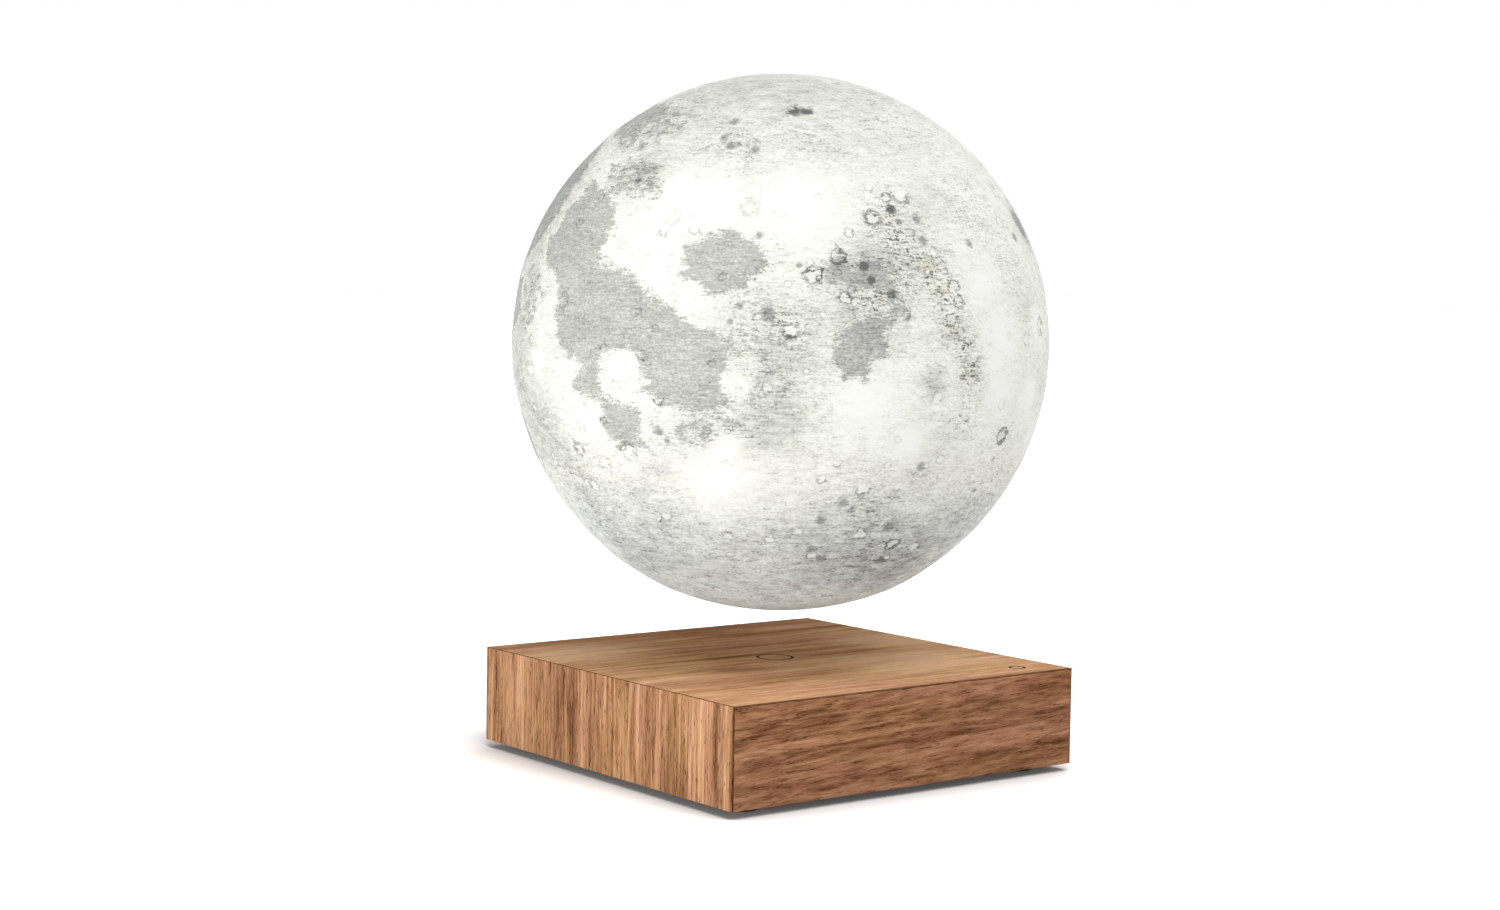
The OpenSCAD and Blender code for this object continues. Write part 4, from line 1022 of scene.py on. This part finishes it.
for board, face_wood, edge_wood, node in boards:
    finish_piece(board, None, "base", node)
    slots = board.material_slots
    slots[FACE_SLOT].material = face_wood
    slots[EDGE_SLOT].material = edge_wood
    if len(slots) > BURNT_SLOT:
        slots[BURNT_SLOT].material = burnt

# %% [markdown]
# ## The rubber feet
# Four low round feet lift the box off the table. One starts as a short cylinder. Bevels round
# its edges, and two insets sink a shallow dish in its sole, as a moulded foot has. The other
# three are copies, each with its own mesh, at the corners that the CAD feet give.

# %% Feet
feet_low, feet_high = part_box("rubber_feet")
FOOT_R = 0.0045
FOOT_H = feet_high.z - feet_low.z
FOOT_X = feet_high.x - FOOT_R
SOLE_ROUND, HEAD_ROUND = 0.0005, 0.00015
SOLE_RIM, DISH_DEPTH = 0.0011, 0.0002

start_piece()
bpy.ops.mesh.primitive_cylinder_add(vertices=48, radius=FOOT_R, depth=FOOT_H,
                                    location=(FOOT_X, FOOT_X, FOOT_H / 2))
foot = bpy.context.object
bpy.ops.object.transform_apply(location=True)
edit(foot)
pick(foot, lambda f: f.normal.z < -0.9)
bpy.ops.mesh.bevel(offset=SOLE_ROUND, segments=4)
pick(foot, lambda f: f.normal.z < -0.999)
bpy.ops.mesh.inset(thickness=SOLE_RIM)
bpy.ops.mesh.inset(thickness=DISH_DEPTH, depth=-DISH_DEPTH)
pick(foot, lambda f: f.normal.z > 0.9)
bpy.ops.mesh.bevel(offset=HEAD_ROUND, segments=2)
bpy.ops.object.mode_set(mode="OBJECT")
copies = [foot]
for x, y in ((-1, 1), (-1, -1), (1, -1)):
    twin = foot.copy()
    twin.data = foot.data.copy()
    bpy.context.scene.collection.objects.link(twin)
    twin.location = ((x - 1) * FOOT_X, (y - 1) * FOOT_X, 0)
    copies.append(twin)
start_piece()
for twin in copies:
    twin.select_set(True)
bpy.context.view_layer.objects.active = foot
bpy.ops.object.join()
foot.name = "soft_feet"
bpy.ops.object.shade_smooth_by_angle(angle=SMOOTH_UNDER)

material, tree, shader = new_material("moulded_black_rubber")
fine = add(tree, "TexNoise", {"Vector": in_mm(tree, (.4, .4, .4)), "Scale": 1.0, "Detail": 2.0})
colour = add(tree, "ValToRGB", {"Fac": fine}, [(0.3, "#141312"), (0.7, "#221F1D")])
dents = add(tree, "Bump", {"Height": fine, "Strength": 0.2, "Distance": 0.0001})
join(tree, shader, {"Base Color": colour, "Roughness": 0.75, "Normal": dents})
finish_piece(foot, material, "base", "rubber_feet")

# %% [markdown]
# ## Finishes of the pieces that keep their CAD shape
# Most of these are inside the box or the globe and are seen only when the model is taken apart.
# They still get the surface of the real thing. Three recipes cover them: moulded or printed
# plastic and similar dull matter, metal, and wound copper wire.

# %% Recipes
def moulded(name, low, high, roughness, grain_mm, ior=1.5, bump=0.15):
    """Plastic, board or paint: two close tones in a fine grain, and a faint texture."""
    material, tree, shader = new_material(name)
    grain = add(tree, "TexNoise", {"Vector": in_mm(tree, (grain_mm,) * 3), "Scale": 1.0,
                                   "Detail": 3.0})
    colour = add(tree, "ValToRGB", {"Fac": grain}, [(0.35, low), (0.65, high)])
    dents = add(tree, "Bump", {"Height": grain, "Strength": bump, "Distance": 0.0001})
    join(tree, shader, {"Base Color": colour, "Roughness": roughness, "IOR": ior, "Normal": dents})
    return material


def metal(name, low, high, smooth, worn, grain_mm):
    """Bare or plated metal: its roughness wanders as handling and plating leave it."""
    material, tree, shader = new_material(name)
    grain = add(tree, "TexNoise", {"Vector": in_mm(tree, grain_mm), "Scale": 1.0, "Detail": 4.0})
    colour = add(tree, "ValToRGB", {"Fac": grain}, [(0.3, low), (0.7, high)])
    rough = add(tree, "MapRange", {"Value": grain, "From Min": 0.3, "From Max": 0.7,
                                   "To Min": smooth, "To Max": worn})
    join(tree, shader, {"Base Color": colour, "Roughness": rough, "Metallic": 1.0})
    return material


def wound_wire(name, low, high, wire_mm):
    """Enamelled copper wire, wound in level turns: a wave of one wire thickness."""
    material, tree, shader = new_material(name)
    wave = add(tree, "TexWave", {"Vector": in_mm(tree, (wire_mm,) * 3), "Scale": 0.314,
                                 "Distortion": 0.6, "Detail": 1.0}, bands_direction="Z")
    turns = wave.outputs["Fac"]
    colour = add(tree, "ValToRGB", {"Fac": turns}, [(0.1, low), (0.7, high)])
    ridges = add(tree, "Bump", {"Height": turns, "Strength": 0.5, "Distance": 0.0001})
    join(tree, shader, {"Base Color": colour, "Metallic": 0.9, "Roughness": 0.32,
                        "Normal": ridges})
    return material


print("recipes ready")

# %% Materials for the CAD pieces
FINISHES = {
    moulded("planed_pine", "#C9A878", "#DCC095", 0.7, 2.5, 1.45, 0.3): ["corner_blocks"],
    moulded("painted_hardboard", "#1E1D1B", "#2C2A27", 0.6, 0.5): ["bottom_plate"],
    metal("zinc_plated_steel", "#A9ABAE", "#C4C6C8", 0.25, 0.45, (0.8, 0.8, 0.8)):
        ["plate_screws", "board_screws", "cap_screws"],
    moulded("moulded_nylon", "#D9D5C8", "#E6E2D6", 0.5, 1.5, 1.53): ["board_spacers"],
    moulded("green_circuit_board", "#17472C", "#215B39", 0.35, 0.9): ["control_board"],
    moulded("white_circuit_board", "#E3E3DC", "#F2F2EC", 0.4, 0.9): ["receiver_board"],
    moulded("black_epoxy_package", "#1A1B1D", "#27292B", 0.5, 0.3):
        ["controller_chips", "driver_transistors", "rectifier_chips", "field_sensors"],
    moulded("ferrite_block", "#2E3032", "#414345", 0.65, 0.5): ["choke"],
    metal("drawn_aluminium_can", "#B9BCC0", "#D0D2D5", 0.25, 0.4, (0.4, 0.4, 6.0)):
        ["large_capacitors", "smoothing_capacitor"],
    moulded("moulded_black_abs", "#141416", "#1F1F21", 0.42, 0.6, 1.54): ["power_inlet"],
    metal("nickel_plated_brass", "#C2A868", "#DCC68A", 0.18, 0.32, (0.6, 0.6, 3.0)): ["inlet_pin"],
    moulded("moulded_white_abs", "#DDDBD2", "#EAE8E0", 0.45, 0.8, 1.54):
        ["magnet_tray", "coil_former", "magnet_cover"],
    metal("nickel_plated_magnet", "#B4B7BA", "#CFD1D3", 0.12, 0.28, (3.0, 3.0, 3.0)):
        ["ring_magnet", "floating_magnet"],
    moulded("moulded_black_nylon", "#1C2126", "#2A3036", 0.5, 0.6, 1.53): ["coil_bobbins"],
    wound_wire("enamelled_copper_wire", "#7A3A16", "#D0804A", 0.4):
        ["coil_windings", "transmitter_coil", "receiver_coil"],
    metal("soft_iron", "#6A6B6E", "#85878A", 0.35, 0.55, (0.5, 0.5, 4.0)): ["coil_cores"],
    moulded("red_pvc_insulation", "#6E1612", "#86201A", 0.4, 1.0, 1.53): ["transmitter_leads"],
    moulded("grey_pvc_insulation", "#C9C6BC", "#DAD7CD", 0.4, 1.0, 1.53): ["touch_lead"],
    metal("etched_copper_foil", "#B06A3C", "#D08E5C", 0.2, 0.4, (1.0, 1.0, 1.0)): ["touch_pad"],
    moulded("yellow_phosphor_in_silicone", "#E8CF72", "#F2E094", 0.35, 0.3, 1.42): ["lights"],
    moulded("opal_polycarbonate", "#EDEDE8", "#F8F8F4", 0.3, 1.2, 1.58): ["light_diffuser"],
    cap_print: ["moon_cap"],
}
dressed = 0
for material, names in FINISHES.items():
    for name in names:
        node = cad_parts[name]
        if not node.material_slots:
            node.data.materials.append(material)
        for spot in node.material_slots:
            spot.material = material
        dressed += 1
print("CAD pieces dressed:", dressed)

# %% [markdown]
# ## The floor, the background and the light
# The photograph has a pure white background with a soft dark shadow close under the box. The
# floor is white, and for the camera it is a little whiter than white, so that it stays white
# where nothing shades it. The close shadow is deepened by the Ambient Occlusion node, which
# tells how much of the floor's view is blocked within a short distance. The sky is white and a
# little brighter from the front above. A low, wide lamp at the left makes the left side brighter
# than the front: it strikes the floor at such a small angle that it casts no shadow to speak of.

# %% Stage
FLOOR_SIZE, SHADOW_REACH, PAINTED_SEEP_GLOW = 24, 0.028, 0.055
FLOOR_WHITE, SEEN_WHITE = 0.9, 1.75      # the floor's white for the light, and for the camera
DARKEST = 0.42                           # the least that the close shadow leaves of it


def seen_rays(tree):
    """1 for the rays that show the background: the camera's, glossy and transmission rays."""
    rays = add(tree, "LightPath").outputs
    seen = add(tree, "Math", {0: rays["Is Camera Ray"], 1: rays["Is Glossy Ray"]},
               operation="MAXIMUM")
    return add(tree, "Math", {0: seen, 1: rays["Is Transmission Ray"]}, operation="MAXIMUM")


start_piece()
bpy.ops.mesh.primitive_plane_add(size=FLOOR_SIZE, location=(0, 0, 0))
ground = bpy.context.object
ground.name = "floor"
material, tree, shader = new_material("white_floor")
seen = seen_rays(tree)
level = add(tree, "MapRange", {"Value": seen, "To Min": FLOOR_WHITE, "To Max": SEEN_WHITE})
near = add(tree, "AmbientOcclusion", {"Distance": SHADOW_REACH}, samples=32).outputs["AO"]
deep = add(tree, "MapRange", {"Value": near, "From Min": DARKEST, "To Min": DARKEST})
level = add(tree, "Math", {0: level, 1: deep}, operation="MULTIPLY")
white = add(tree, "VectorMath", {0: (1, 1, 1), "Scale": level}, operation="SCALE")
matt = add(tree, "BsdfDiffuse", {"Color": white})
# Painted light: a faint glow, for the rays that show the background, lifts the closest shadow under
# the box so that it isn't black
under = add(tree, "MapRange", {"Value": near, "To Min": PAINTED_SEEP_GLOW, "To Max": 0.0})
under = add(tree, "Math", {0: under, 1: seen}, operation="MULTIPLY")
painted_seep = add(tree, "Emission", {"Strength": under})
both = add(tree, "AddShader", {0: matt, 1: painted_seep})
tree.links.new(both.outputs[0], tree.nodes["Material Output"].inputs["Surface"])
ground.data.materials.append(material)

# %% Light
SKY, FRONT_SHARE = 0.36, 0.2
SKY_FROM = Vector((0.0, -0.6, 0.8))
world = bpy.data.worlds.new("studio")
bpy.context.scene.world = world
world.use_nodes = True
tree = world.node_tree
seen = seen_rays(tree)
way = add(tree, "TexCoord").outputs["Generated"]
facing = add(tree, "VectorMath", {0: way, 1: SKY_FROM.normalized()}, operation="DOT_PRODUCT")
soft = add(tree, "MapRange", {"Value": facing.outputs["Value"], "From Min": -1.0,
                              "To Min": SKY * (1 - FRONT_SHARE), "To Max": SKY * (1 + FRONT_SHARE)})
level = add(tree, "Mix", {"Factor": seen, "A": soft, "B": 1.0})
join(tree, tree.nodes["Background"], {"Color": (1, 1, 1, 1), "Strength": level})



def new_lamp(name, kind, energy, place, target):
    """A lamp at that place, turned to the target."""
    data = bpy.data.lights.new(name, kind)
    lamp = bpy.data.objects.new(name, data)
    bpy.context.scene.collection.objects.link(lamp)
    data.energy = energy
    lamp.location = place
    lamp.rotation_euler = (Vector(place) - Vector(target)).to_track_quat("Z", "Y").to_euler()
    lamp.visible_camera = False
    return data


softbox = new_lamp("low_softbox", "AREA", 0.34, (-0.6, -0.05, 0.05), (0, 0, 0.015))
softbox.shape = "RECTANGLE"
softbox.size, softbox.size_y = 0.5, 0.08
softbox.spread = math.radians(70)
key = new_lamp("wide_key", "SUN", 1.75, (-0.06, -0.47, 0.88), (0, 0, 0))
key.angle = math.radians(44)
print("sky", SKY, "softbox", softbox.energy, "key", key.energy)

# %% [markdown]
# ## The end
# The dressed lamp must be as big as the CAD lamp. The last step leaves nothing selected.

# %% Finish
start_piece()
